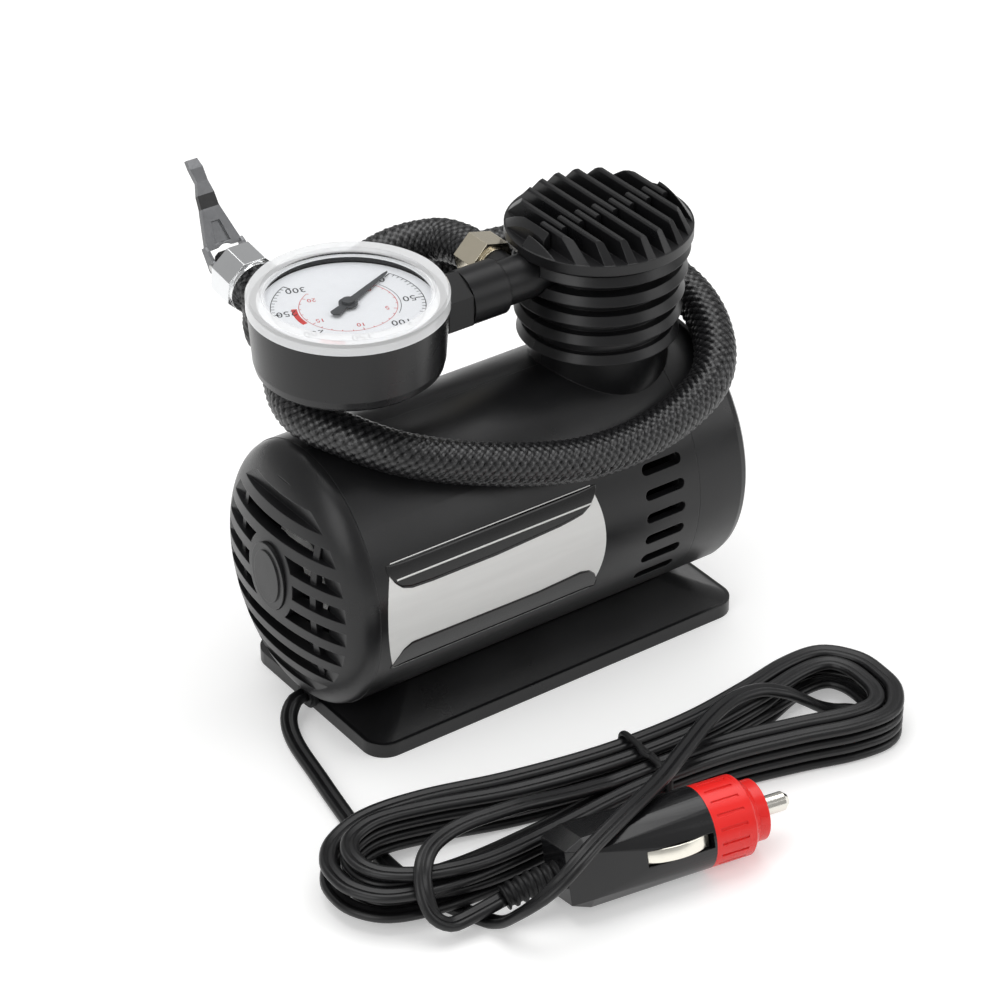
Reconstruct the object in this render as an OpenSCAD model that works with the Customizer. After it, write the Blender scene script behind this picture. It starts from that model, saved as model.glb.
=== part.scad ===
/* [Housing] */
// Half of the oval body's width
body_half_w = 32.5; // [31:0.5:35]
// Half of the oval body's height
body_half_h = 36.35; // [36:0.05:38]
// Height of the oval body's middle line
body_mid_z = 42.65; // [42:0.05:44]
// Wall of the two body halves
wall = 2.2; // [1.8:0.1:2.6]
// Distance from the middle of the base forward to the grille seam
nose_seam = 58.6; // [57:0.2:61]
// How far the domed grille stands in front of its seam
nose_len = 12.3; // [12:0.2:16]
// Distance from the middle of the base back to the rear cap's seam
cap_seam = 42; // [40:0.5:44]
// Length of the rear cap
cap_len = 17; // [12:0.5:20]
// Edge radius of the rear cap
cap_edge = 3; // [1:0.5:4]

/* [Base] */
// Length of the base plate
base_l = 118; // [112:1:124]
// Width of the base plate
base_w = 60; // [54:1:66]
// Corner radius of the base plate
base_r = 6.5; // [4:0.5:9]
// Height of the base's upright edge
base_edge = 4; // [3:0.5:5]
// Slope's run from the edge to the saddle, at the sides
base_slope = 13; // [10:0.5:15]

/* [Grille and vents] */
// Number of air slots in the grille
grille_slots = 9; // [7:2:9]
// Spacing of the grille slots
grille_pitch = 7.15; // [6.6:0.05:7.3]
// Height of one grille slot
grille_slot_h = 4.1; // [3:0.1:4.4]
// Thickness of the grille's front bars
grille_t = 3.2; // [2.6:0.1:3.6]
// Height of the grille's middle slot
grille_mid_z = 46.1; // [45:0.1:47]
// Width of the oval badge
badge_w = 15; // [12:0.5:18]
// Height of the oval badge
badge_h = 19; // [15:0.5:22]
// Number of side vents on each side
vent_count = 6; // [4:1:6]
// Spacing of the side vents
vent_pitch = 6.75; // [6:0.05:7]
// Length of one side vent
vent_l = 12.6; // [10:0.2:14]
// Height of one side vent
vent_h = 3; // [2:0.2:3.4]

/* [Finned head] */
// Distance of the cylinder's axis behind the middle of the base
cyl_x = 32.1; // [31.5:0.1:33]
// Height of the top plate's upper face
plate_z = 114.9; // [114.5:0.1:116]
// Radius of the top plate
plate_r = 24.4; // [23.5:0.1:25]
// Thickness of the top plate
plate_t = 2.8; // [2.2:0.1:3.2]
// Height of the fins above the top plate
fin_h = 5; // [4:0.5:6]
// Thickness of one top fin
fin_t = 2.4; // [1.8:0.1:2.5]
// Spacing of the top fins
fin_pitch = 5.37; // [5.2:0.01:5.4]
// Number of fins on each half
fin_count = 9; // [7:2:9]
// Number of cooling rings
ring_count = 5; // [4:1:5]
// Spacing of the cooling rings
ring_pitch = 6.05; // [5.8:0.05:6.1]
// Thickness of one cooling ring
ring_t = 2.4; // [1.8:0.1:2.8]
// Radius of the lowest cooling ring
ring_r = 21.2; // [20.5:0.1:22]
// Radius of the neck below the rings
neck_r = 18.4; // [18.2:0.1:19]
// Radius of the hollow inside the neck
neck_bore = 16.2; // [16.1:0.1:16.4]

/* [Compressor] */
// Radius of the piston's bore
bore_r = 10.5; // [10:0.1:10.8]
// Outer radius of the cylinder liner
liner_r = 12.4; // [12:0.1:12.6]
// Stroke of the piston
stroke = 12; // [10:0.5:12]
// Height of the crank gear's axle
crank_z = 55; // [54.6:0.1:55.4]
// Teeth on the crank gear
gear_teeth = 48; // [40:1:48]
// Teeth on the motor pinion
pinion_teeth = 12; // [10:1:12]
// Gear module
gear_m = 0.5; // [0.45:0.01:0.5]
// Width of the crank gear
gear_w = 5; // [4:0.5:5]
// Radius of the motor's can
can_r = 17.8; // [17:0.1:18.4]
// Length of the motor's can
can_l = 56; // [52:1:58]
// Number of blades on the cooling fan
fan_blades = 9; // [6:1:11]
// Radius of the cooling fan
fan_r = 22; // [19:0.5:23]

/* [Gauge] */
// Distance of the gauge's axis in front of the middle of the base
gauge_x = 44.8; // [44:0.1:46]
// Radius of the gauge's case at its underside
case_r = 24.3; // [23.5:0.1:24.5]
// Height of the case's underside
case_z = 98.2; // [97.5:0.1:99]
// Height of the case's open rim
rim_z = 117.6; // [117:0.1:118]
// Height of the clear cover's top
cover_z = 120.1; // [119.8:0.1:120.6]
// Direction in which the needle rests at zero
needle_zero = 24; // [0:1:45]
// Length of the needle from its hub
needle_l = 18.2; // [15:0.2:19]

/* [Air hose and chuck] */
// Height of the air pipe's axis
pipe_z = 106.5; // [106:0.1:107]
// Radius of the air pipe
pipe_r = 6; // [5.5:0.1:6.2]
// Distance of the hose outlet behind the middle of the base
outlet_x = 5.2; // [4.8:0.1:5.6]
// Width across the flats of the brass hose nut
nut_af = 12; // [11:0.5:13]
// Length of the brass hose nut
nut_l = 8; // [7:0.5:12]
// Outer diameter of the braided hose
hose_d = 11.4; // [10:0.1:11.4]
// Width across the flats of the chuck's chrome nut
chuck_af = 15.2; // [14.5:0.1:16]
// Length of the chuck's chrome nut
chuck_nut_l = 9.5; // [9:0.1:11]
// Length of the chuck's lever from its pin
lever_l = 28.4; // [26:0.2:32]

/* [Power cord and plug] */
// Width of the flat twin cord
cord_w = 4.6; // [4:0.1:4.8]
// Thickness of the flat twin cord
cord_t = 2.4; // [2:0.1:2.6]
// Radius of the plug's round front
plug_r = 10.4; // [10:0.1:10.5]
// Length of the plug's grip
grip_l = 38.4; // [36:0.5:42]
// Length of the red collar
collar_l = 16.3; // [14:0.1:20]
// Radius of the plug's sprung tip pin
tip_r = 2.5; // [2.2:0.1:3.2]
// Length of the tip pin outside the collar
tip_l = 9.4; // [5:0.2:10]

/* [Hidden] */
$fn = 64;

// Clearances
run_gap = 0.05;
slide_gap = 0.08;
seat_gap = 0.1;
air_gap = 0.3;

// Body places worked out from the driving sizes
nose_x = -nose_seam;
cap_x0 = cap_seam;
rear_x = cap_seam + cap_len;
body_top = body_mid_z + body_half_h;
body_low = body_mid_z - body_half_h;
saddle_z = 10.6;
neck_z = 70.8;

// Arcs of the oval: the tighter ones at the top and bottom, the flatter ones at the sides
end_arc = body_half_w - 2;
end_off = body_half_h - end_arc;
side_arc = (body_half_w * body_half_w + end_off * end_off - end_arc * end_arc) / (2 * (body_half_w - end_arc));
side_off = side_arc - body_half_w;

// Gear train
wheel_pr = gear_m * gear_teeth / 2;
pinion_pr = gear_m * pinion_teeth / 2;
motor_z = crank_z - wheel_pr - pinion_pr - 0.05;
crank_r = stroke / 2;
frame_x = 15;
frame_t = 3;
gear_x = frame_x + frame_t + 1;
disc_t = 2.5;
disc_x = gear_x + gear_w;
pin_r = 2;
axle_r = 2.5;
shaft_r = 1.6;
can_x0 = frame_x - can_l;

// Rod and piston, at the bottom of the stroke
rod_w = 5;
valve_face = 100;
crown_top = valve_face - 0.5 - stroke;
deck_z = 69;
deck_t = 3;
flange_t = 2;
head_z0 = valve_face + 1.5;
head_z1 = 110;
screw_ring = 14;

// Gauge
gx = -gauge_x;
dial_z = 115.4;
stem_r = 5;
case_top_r = case_r + 0.7;
cover_r = case_r + 0.9;
nut_x0 = gx + case_top_r + 0.2;
nut_x1 = -12.2;
shaft_z0 = case_z + 4.5;

// Chuck: its hose end, and its tilt out of level
chuck_at = [-42, 47.6, 97.85];
chuck_tilt = 8;
lever_lean = 37.4;
lever_v = chuck_nut_l + 2.7;
lever_rise = 0.5;
mouth_l = 3.5;
cheek_x = 4.5;
ear_t = 0.95;
ear_x = cheek_x + 0.35 + ear_t;
lever_pin_r = 0.9;
lever_pivot = chuck_at + lever_v * [0, cos(chuck_tilt), sin(chuck_tilt)]
    + lever_rise * [0, -sin(chuck_tilt), cos(chuck_tilt)];

// Plug: the middle of its front shoulder, and its turn about Z
plug_at = [-17.7, -108.1, plug_r + 0.05];
plug_turn = -9.5;
plug_roll = -18;

function unit(v) = v / norm(v);
function mix(a, b, t) = a + (b - a) * t;

// Smooth curve through the points p, n steps to a span
function spline(p, n) = let(c = len(p)) concat(
    [for (i = [0:c - 2], j = [0:n - 1])
        let(t = j / n, a = p[max(i - 1, 0)], b = p[i], d = p[i + 1], e = p[min(i + 2, c - 1)])
        0.5 * (2 * b + (d - a) * t + (2 * a - 5 * b + 4 * d - e) * t * t
            + (3 * b - a - 3 * d + e) * t * t * t)],
    [p[c - 1]]);

function heading(p, i) = unit(p[min(i + 1, len(p) - 1)] - p[max(i - 1, 0)]);

function length_of(p) = len(p) < 2 ? 0 : [for (i = 0, s = 0; i < len(p);
    i = i + 1, s = s + (i < len(p) ? norm(p[i] - p[i - 1]) : 0)) s][len(p) - 1];

// Tube along the points p: section(i) is a list of [across, up] offsets
module sweep_tube(p, rings, start_dir = undef, end_dir = undef) {
    n = len(rings[0]);
    m = len(p);
    pts = [for (i = [0:m - 1])
        let(t = i == 0 && !is_undef(start_dir) ? start_dir
                : i == m - 1 && !is_undef(end_dir) ? end_dir : heading(p, i),
            a = unit(cross(t, [0, 0, 1])), u = cross(a, t))
        for (q = rings[i]) p[i] + a * q[0] + u * q[1]];
    walls = [for (i = [0:m - 2], j = [0:n - 1], k = [0:1])
        let(a = i * n + j, b = i * n + (j + 1) % n)
        k == 0 ? [a, a + n, b] : [b, a + n, b + n]];
    low = [for (j = [1:n - 2]) [0, j, j + 1]];
    high = [for (j = [1:n - 2]) [(m - 1) * n, (m - 1) * n + j + 1, (m - 1) * n + j]];
    polyhedron(points = pts, faces = concat(walls, low, high), convexity = 10);
}

function round_ring(r, n) = [for (j = [0:n - 1]) r * [cos(360 * j / n), sin(360 * j / n)]];
function oval_ring(a, b, n) = [for (j = [0:n - 1])
    [a * cos(360 * j / n), b * sin(360 * j / n)]];

// Oval of four tangent arcs, brought in by inset
module oval_2d(inset = 0) {
    intersection() {
        translate([0, -side_off]) circle(r = side_arc - inset, $fn = 144);
        translate([0, side_off]) circle(r = side_arc - inset, $fn = 144);
        square([2 * (end_off + (end_arc - inset) * end_off / (side_arc - end_arc)), 100], center = true);
    }
    for (s = [-1, 1]) translate([s * end_off, 0]) circle(r = end_arc - inset, $fn = 96);
}

// Straight bar of the body's oval section
module oval_bar(x0, x1, inset = 0) {
    translate([x0, 0, body_mid_z]) rotate([0, 90, 0]) linear_extrude(x1 - x0) oval_2d(inset);
}

// Slice of the oval body whose inset grows from i0 to i1
module oval_taper(x0, x1, i0, i1) {
    h = x1 - x0;
    k = end_off / (side_arc - end_arc);
    translate([x0, 0, body_mid_z]) rotate([0, 90, 0]) {
        intersection() {
            translate([0, -side_off, 0]) cylinder(r1 = side_arc - i0, r2 = side_arc - i1, h = h, $fn = 144);
            translate([0, side_off, 0]) cylinder(r1 = side_arc - i0, r2 = side_arc - i1, h = h, $fn = 144);
            rotate([90, 0, 0]) translate([0, 0, -50]) linear_extrude(100) polygon([
                [-end_off - (end_arc - i0) * k, 0], [end_off + (end_arc - i0) * k, 0],
                [end_off + (end_arc - i1) * k, h], [-end_off - (end_arc - i1) * k, h]]);
        }
        for (s = [-1, 1]) translate([s * end_off, 0, 0])
            cylinder(r1 = end_arc - i0, r2 = end_arc - i1, h = h, $fn = 96);
    }
}

// Half ellipsoid in front of the grille's seam
module nose_dome(inset = 0) {
    intersection() {
        translate([nose_x, 0, body_mid_z])
            scale([nose_len - inset, body_half_w - inset, body_half_h - inset]) sphere(r = 1, $fn = 96);
        translate([nose_x - 2 * nose_len, -50, 0]) cube([2 * nose_len, 100, 100]);
    }
}

module half_space(side) {
    translate([-100, side > 0 ? 0 : -100, -10]) cube([200, 100, 160]);
}

module x_rod(x0, x1, r, y = 0, z = 0) {
    translate([x0, y, z]) rotate([0, 90, 0]) cylinder(r = r, h = x1 - x0);
}

module y_rod(y0, y1, r, x = 0, z = 0) {
    translate([x, y0, z]) rotate([-90, 0, 0]) cylinder(r = r, h = y1 - y0);
}

module rounded_slab(l, w, r, h) {
    linear_extrude(h) {
        square([l - 2 * r, w], center = true);
        square([l, w - 2 * r], center = true);
        for (x = [-1, 1], y = [-1, 1]) translate([x * (l / 2 - r), y * (w / 2 - r)]) circle(r = r);
    }
}

// ---------- base ----------

base_screw_x = 40;
base_screw_y = 7;

module base_plate() {
    top_w = base_w - 2 * base_slope;
    top_l = base_l - 2 * base_slope - 4;
    color("#1b1b1d") difference() {
        union() {
            rounded_slab(base_l, base_w, base_r, base_edge);
            hull() {
                translate([0, 0, base_edge - 0.5]) rounded_slab(base_l - 2, base_w - 2, base_r - 1, 0.5);
                translate([0, 0, saddle_z - 0.2]) rounded_slab(top_l, top_w, 4, 0.2);
            }
            translate([0, 0, base_edge]) rounded_slab(top_l - 4, top_w - 4, 3, 10.5);
        }
        // Saddle that the body lies in
        oval_bar(-base_l, base_l);
        // Hollow underside, with a rib each way
        difference() {
            translate([0, 0, -1]) rounded_slab(base_l - 8, base_w - 8, base_r - 3, 3.2);
            translate([-base_l, -1.5, -1]) cube([2 * base_l, 3, 4]);
            for (x = [-30, 0, 30]) translate([x - 1.5, -base_w, -1]) cube([3, 2 * base_w, 4]);
        }
        x_rod(-75, gland_x1, gland_r, 0, gland_z);
        for (x = [-1, 1], y = [-1, 1]) translate([x * base_screw_x, y * base_screw_y, -1]) {
            cylinder(r = 1.7, h = 20);
            cylinder(r = 3.2, h = 4.6);
        }
    }
}

module base_screws() {
    color("silver") for (x = [-1, 1], y = [-1, 1])
        translate([x * base_screw_x, y * base_screw_y, 1.2]) {
            difference() {
                cylinder(r = 2.9, h = 2.4);
                translate([-0.4, -2, -1]) cube([0.8, 4, 1.8]);
                translate([-2, -0.4, -1]) cube([4, 0.8, 1.8]);
            }
            translate([0, 0, 2.4]) cylinder(r = 1.3, h = 12);
        }
}

// ---------- housing ----------

join_screws = [[-50, 13.9], [-50, 66.5], [-8, 70.5], [36, 18]];

module rings_and_plate() {
    for (i = [0:ring_count - 1]) {
        r = mix(ring_r, plate_r, i / ring_count);
        translate([cyl_x, 0, ring_z(i)]) cylinder(r1 = r, r2 = r - 1.2, h = ring_t);
    }
    translate([cyl_x, 0, plate_z - plate_t]) cylinder(r = plate_r, h = plate_t);
}

function ring_z(i) = plate_z - 0.4 - (ring_count - i) * ring_pitch;

// One half's top fins; side 1 is +Y, -1 is -Y
module top_fins(side) {
    lap = side > 0 ? 4.8 : 0.6;
    shift = side * (fin_t / 2 + 0.15);
    intersection() {
        translate([cyl_x, 0, plate_z - 0.2])
            cylinder(r1 = plate_r - 0.2, r2 = plate_r - 4.6, h = fin_h + 0.2);
        for (i = [0:fin_count - 1]) {
            x = cyl_x + (i - (fin_count - 1) / 2) * fin_pitch + shift;
            translate([x, side > 0 ? -lap : lap, plate_z]) rotate([90, 0, side > 0 ? 180 : 0])
                linear_extrude(40) polygon([[-fin_t / 2, 0.1], [fin_t / 2, 0.1],
                    [fin_t / 2 - 0.35, fin_h - 0.5], [fin_t / 2 - 0.8, fin_h],
                    [-fin_t / 2 + 0.8, fin_h], [-fin_t / 2 + 0.35, fin_h - 0.5]]);
            translate([x - fin_t / 2, side > 0 ? 0 : -40, plate_z - 0.2]) cube([fin_t, 40, 0.31]);
        }
    }
}

module vents(side) {
    for (i = [0:vent_count - 1])
        translate([30.8, side * (body_half_w - 9), 57.1 - i * vent_pitch]) rotate([-90 * side, 0, 0])
            linear_extrude(14) {
                square([vent_l - vent_h, vent_h], center = true);
                for (s = [-1, 1]) translate([s * (vent_l - vent_h) / 2, 0]) circle(d = vent_h);
            }
}

module housing_half(side) {
    difference() {
        intersection() {
            union() {
                difference() {
                    oval_bar(nose_x, cap_x0);
                    oval_bar(nose_x - 1, cap_x0 + 1, wall);
                }
                // Motor cradles
                intersection() {
                    oval_bar(nose_x, cap_x0, wall - 0.2);
                    for (x = [-34, 2]) translate([x, -40, 0]) cube([2, 80, motor_z + 6]);
                }
                // Screw bosses that join the halves
                for (p = join_screws) intersection() {
                    oval_bar(nose_x, cap_x0, wall / 2);
                    y_rod(-40, 40, 3.4, p[0], p[1]);
                }
                // Tongue for the rear cap
                difference() {
                    oval_bar(cap_x0 - 6, cap_x0 + 4, wall + seat_gap);
                    oval_bar(cap_x0 - 7, cap_x0 + 5, wall + 1.6);
                }
                // Bosses for the base screws
                for (x = [-1, 1]) intersection() {
                    oval_bar(nose_x, cap_x0, wall / 2);
                    translate([x * base_screw_x, side * base_screw_y, 0]) cylinder(r = 3.2, h = 18);
                }
                // Neck, cooling rings and top plate
                translate([cyl_x, 0, neck_z]) cylinder(r = neck_r, h = plate_z - plate_t / 2 - neck_z);
                rings_and_plate();
            }
            half_space(side);
        }
        // Hollow of the neck
        translate([cyl_x, 0, body_mid_z]) cylinder(r = neck_bore, h = plate_z - plate_t - body_mid_z);
        x_rod(can_x0 - 1, frame_x, can_r, 0, motor_z);
        x_rod(-75, gland_x1, gland_r, 0, gland_z);
        // Passage of the air pipe
        x_rod(cyl_x - plate_r - 6, cyl_x - neck_bore + 6, pipe_r + 0.2, 0, pipe_z);
        vents(side);
        if (side > 0) y_rod(2, 24, 7.2, outlet_x, pipe_z);
        for (p = join_screws) {
            if (side > 0) {
                y_rod(-1, 40, 1.6, p[0], p[1]);
                y_rod(8, 40, 3, p[0], p[1]);
            } else y_rod(-12, 1, 1.25, p[0], p[1]);
        }
        for (x = [-1, 1]) translate([x * base_screw_x, side * base_screw_y, 0]) cylinder(r = 1.3, h = 15.6);
        if (side < 0) label_shape(0.3, 0.4);
    }
    top_fins(side);
}

module housing_left() {
    color("#222224") housing_half(1);
}

module housing_right() {
    color("#222224") housing_half(-1);
}

module housing_screws() {
    color("silver") for (p = join_screws) {
        difference() {
            y_rod(8, 10.2, 2.7, p[0], p[1]);
            translate([p[0] - 1.8, 9.4, p[1] - 0.35]) cube([3.6, 2, 0.7]);
            translate([p[0] - 0.35, 9.4, p[1] - 1.8]) cube([0.7, 2, 3.6]);
        }
        y_rod(-10, 8, 1.25, p[0], p[1]);
    }
}

// Label on the -Y side: bulged ends, notched corners; out is its proud height
module label_shape(depth, grow = 0) {
    x0 = -56.5;
    x1 = 11.2;
    z0 = 27.4;
    z1 = 58.8;
    intersection() {
        difference() {
            oval_bar(nose_x + 0.5, 20, -grow);
            oval_bar(nose_x, 21, depth);
        }
        translate([0, -12, 0]) rotate([90, 0, 0]) linear_extrude(40) {
            translate([x0 + 3, z0]) square([x1 - x0 - 6, z1 - z0]);
            for (s = [0, 1]) intersection() {
                translate([s == 0 ? x0 + 40 : x1 - 40, (z0 + z1) / 2]) circle(r = 40, $fn = 96);
                translate([s == 0 ? x0 : x1 - 4, z0]) square([4, z1 - z0]);
            }
        }
    }
}

module side_label() {
    color("#e6e6e4") label_shape(0.3, 0.05);
}

// ---------- grille ----------

badge_x = -71.2;

module oval_x(x0, x1, w, h, z) {
    translate([x0, 0, z]) rotate([0, 90, 0]) scale([h / w, 1, 1])
        cylinder(r = w / 2, h = x1 - x0);
}

module front_grille() {
    color("#242426") difference() {
        union() {
            difference() {
                nose_dome();
                nose_dome(grille_t);
                // Air slots, back to a line behind the front face
                difference() {
                    for (i = [0:grille_slots - 1])
                        translate([nose_x - 20, -40, slot_z(i) - grille_slot_h / 2])
                            cube([13.2, 80, grille_slot_h]);
                    oval_x(nose_x - 21, nose_x, badge_w + 5, badge_h + 5, grille_mid_z);
                }
            }
            // Middle post behind the bars, and the badge's boss
            intersection() {
                nose_dome(1.2);
                union() {
                    oval_x(-75, -66, badge_w + 5, badge_h + 5, grille_mid_z);
                    for (y = [-16, 16]) translate([nose_x - 15, y - 1, 0]) cube([8, 2, 90]);
                }
            }
            // Tongue into the body halves
            difference() {
                oval_bar(nose_x - 1.5, nose_x + 5, wall + seat_gap);
                oval_bar(nose_x - 2, nose_x + 6, wall + 1.5);
            }
        }
        oval_x(-80, badge_x + 1, badge_w + 0.2, badge_h + 0.2, grille_mid_z);
        for (p = join_screws) y_rod(-40, 40, 3.6, p[0], p[1]);
        x_rod(-75, gland_x1, gland_r, 0, gland_z);
        x_rod(-75, gland_x0 + 1.6, gland_r + 0.7, 0, gland_z);
    }
}

function slot_z(i) = grille_mid_z + (i - (grille_slots - 1) / 2) * grille_pitch;

module grille_badge() {
    color("#1c1c1e") {
        oval_x(badge_x, badge_x + 1, badge_w - 0.1, badge_h - 0.1, grille_mid_z);
        oval_x(badge_x - 0.4, badge_x + 0.2, badge_w - 4, badge_h - 4, grille_mid_z);
    }
}

// ---------- rear cap ----------

module rear_cap() {
    color("#1f1f21") difference() {
        union() {
            oval_bar(cap_x0, rear_x - cap_edge);
            oval_taper(rear_x - cap_edge, rear_x - cap_edge * 0.45, 0, cap_edge * 0.16);
            oval_taper(rear_x - cap_edge * 0.45, rear_x - cap_edge * 0.12, cap_edge * 0.16, cap_edge * 0.52);
            oval_taper(rear_x - cap_edge * 0.12, rear_x, cap_edge * 0.52, cap_edge);
        }
        oval_bar(cap_x0 - 1, cap_x0 + 4.3, wall);
        oval_bar(cap_x0 + 4.2, rear_x - cap_edge, wall + 0.3);
        translate([cyl_x, 0, body_mid_z]) cylinder(r = neck_r, h = 60);
    }
}

// ---------- motor ----------

module motor_can() {
    color("#c9cacb") difference() {
        union() {
            x_rod(can_x0, frame_x, can_r, 0, motor_z);
            x_rod(frame_x, frame_x + 2.2, 6.4, 0, motor_z);
        }
        x_rod(can_x0 - 1, frame_x - 1.5, can_r - 1.4, 0, motor_z);
        x_rod(frame_x - 3, frame_x + 4, 3.2, 0, motor_z);
        for (s = [-1, 1]) x_rod(frame_x - 3, frame_x + 4, 1.3, s * 12.5, motor_z);
        for (s = [-1, 1]) translate([-4, s > 0 ? 8 : -28, motor_z - 3]) cube([12, 20, 6]);
    }
}

module motor_magnets() {
    color("#3a3a3e") for (s = [0, 180]) translate([-30, 0, motor_z]) rotate([0, 90, 0])
        rotate([0, 0, s - 60]) rotate_extrude(angle = 120) translate([13.6, 0])
            square([can_r - 1.4 - 13.6, 34]);
}

module motor_end_bell() {
    color("#2b2b2d") difference() {
        union() {
            x_rod(can_x0 - 3, can_x0, can_r - 0.3, 0, motor_z);
            x_rod(can_x0, can_x0 + 4, can_r - 1.45, 0, motor_z);
            x_rod(can_x0 - 5.5, can_x0 - 3, 6, 0, motor_z);
        }
        x_rod(can_x0 - 1, can_x0 + 5, 13.5, 0, motor_z);
        x_rod(can_x0 - 6, can_x0 + 1, 3.2, 0, motor_z);
        for (s = [-1, 1]) translate([can_x0 - 4, s * 11 - 1, motor_z - 3]) cube([4, 2, 6]);
    }
}

module motor_bushes() {
    color("#b08d4a") for (x = [can_x0 - 5.5, frame_x - 1.5]) difference() {
        x_rod(x, x + 3.7, 3.2, 0, motor_z);
        x_rod(x - 1, x + 5, shaft_r + run_gap, 0, motor_z);
    }
}

shaft_x0 = can_x0 - 14.5;
shaft_x1 = gear_x + gear_w + 1;

module rotor_shaft() {
    color("silver") x_rod(shaft_x0, shaft_x1, shaft_r, 0, motor_z);
}

module armature() {
    color("#8d6a3a") difference() {
        x_rod(-30, 4, 12.9, 0, motor_z);
        x_rod(-31, 5, shaft_r, 0, motor_z);
        for (a = [0:120:240]) translate([0, 0, motor_z]) rotate([a, 0, 0])
            translate([-31, -1, 8]) cube([36, 2, 6]);
    }
}

module commutator() {
    color("#b87333") difference() {
        x_rod(can_x0 + 2, can_x0 + 10, 4.5, 0, motor_z);
        x_rod(can_x0 + 1, can_x0 + 11, shaft_r, 0, motor_z);
        for (a = [0:60:300]) translate([0, 0, motor_z]) rotate([a, 0, 0])
            translate([can_x0 + 1, -0.2, 3.8]) cube([10, 0.4, 2]);
    }
}

module cooling_fan() {
    fx = shaft_x0 + 0.5;
    color("#dcdcd8") difference() {
        union() {
            x_rod(fx, fx + 7, 4, 0, motor_z);
            x_rod(fx + 6, fx + 7, 9, 0, motor_z);
            for (i = [0:fan_blades - 1]) translate([fx + 3.5, 0, motor_z]) rotate([i * 360 / fan_blades, 0, 0])
                rotate([0, 0, 35]) translate([-0.6, -3, 3]) cube([1.2, 6, fan_r - 3.3]);
        }
        x_rod(fx - 1, fx + 8, shaft_r, 0, motor_z);
    }
}

// Involute-like spur wheel outline
module spur(teeth, m, slim = 0.03) {
    pr = teeth * m / 2;
    tip = pr + m * 0.92;
    root = pr - m * 1.2;
    p = 360 / teeth;
    polygon([for (i = [0:teeth - 1], q = [[root, -0.36], [root, -0.30], [pr, -0.25 + slim],
        [tip, -0.12], [tip, 0.12], [pr, 0.25 - slim], [root, 0.30]])
        q[0] * [cos((i + q[1]) * p), sin((i + q[1]) * p)]]);
}

module motor_pinion() {
    color("#c0a060") translate([gear_x + 0.3, 0, motor_z]) rotate([0, 90, 0])
        rotate([0, 0, 180 / pinion_teeth + 180]) difference() {
            linear_extrude(gear_w + 0.4) spur(pinion_teeth, gear_m);
            translate([0, 0, -1]) cylinder(r = shaft_r, h = gear_w + 3);
        }
}

// ---------- drive ----------

module drive_frame() {
    plate_w = 30;
    color("#9a9ca0") difference() {
        union() {
            translate([frame_x, 0, 0]) rotate([90, 0, 90]) linear_extrude(frame_t) {
                translate([-plate_w / 2, motor_z - 8]) square([plate_w, crank_z - motor_z + 12]);
                translate([-9, crank_z]) square([18, deck_z + 1 - crank_z]);
                translate([0, motor_z]) circle(r = plate_w / 2);
            }
            x_rod(frame_x, gear_x - 0.4, axle_r + 2, 0, crank_z);
            translate([cyl_x, 0, deck_z]) cylinder(r = neck_bore - 0.2, h = deck_t);
            for (y = [-7, 7]) translate([frame_x + frame_t - 0.5, y - 1, deck_z - 6]) rotate([90, 0, 0])
                translate([0, 0, -2]) linear_extrude(2) polygon([[0, 6.5], [0, -4], [7, 6.5]]);
        }
        x_rod(frame_x - 1, frame_x + frame_t + 1, 6.5, 0, motor_z);
        for (s = [-1, 1]) x_rod(frame_x - 1, frame_x + frame_t + 1, 1.4, s * 12.5, motor_z);
        x_rod(frame_x - 1, gear_x + 1, axle_r, 0, crank_z);
        translate([cyl_x, 0, deck_z - 1]) cylinder(r = liner_r, h = deck_t + 2);
        for (a = [45:90:315]) translate([cyl_x + screw_ring * cos(a), screw_ring * sin(a), deck_z - 1])
            cylinder(r = 0.9, h = deck_t + 2);
        // Room for the crank gear
        x_rod(gear_x - 0.3, disc_x + disc_t + 0.6, wheel_pr + gear_m + 0.6, 0, crank_z);
    }
}

module motor_screws() {
    color("silver") for (s = [-1, 1]) {
        x_rod(frame_x - 1, frame_x + frame_t, 1.25, s * 12.5, motor_z);
        x_rod(frame_x + frame_t, frame_x + frame_t + 1.6, 2.4, s * 12.5, motor_z);
    }
}

module gear_axle() {
    color("silver") {
        x_rod(frame_x, disc_x + disc_t + 0.3, axle_r, 0, crank_z);
        x_rod(disc_x + disc_t + 0.3, disc_x + disc_t + 0.9, 3.3, 0, crank_z);
    }
}

module crank_gear() {
    color("#d8d4c8") difference() {
        union() {
            translate([gear_x, 0, crank_z]) rotate([0, 90, 0])
                linear_extrude(gear_w) spur(gear_teeth, gear_m);
            // Counterweight opposite the crank pin
            translate([disc_x, 0, crank_z]) rotate([0, 90, 0]) linear_extrude(disc_t) {
                difference() {
                    circle(r = 11);
                    translate([-2, -12]) square([14, 24]);
                }
                circle(r = 4.5);
                translate([0, -3]) square([crank_r, 6]);
                translate([crank_r, 0]) circle(r = 3);
            }
            x_rod(disc_x + 0.5, disc_x + disc_t + 2.7, pin_r, 0, crank_z - crank_r);
        }
        x_rod(gear_x - 1, disc_x + disc_t + 1, axle_r + run_gap, 0, crank_z);
        for (a = [45:90:315]) translate([gear_x - 1, 0, crank_z]) rotate([a, 0, 0])
            translate([0, 0, 7.2]) rotate([0, 90, 0]) cylinder(r = 1.6, h = 3);
    }
}

// ---------- piston ----------

rod_x0 = cyl_x - rod_w / 2;
pin_z = crank_z - crank_r;

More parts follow.
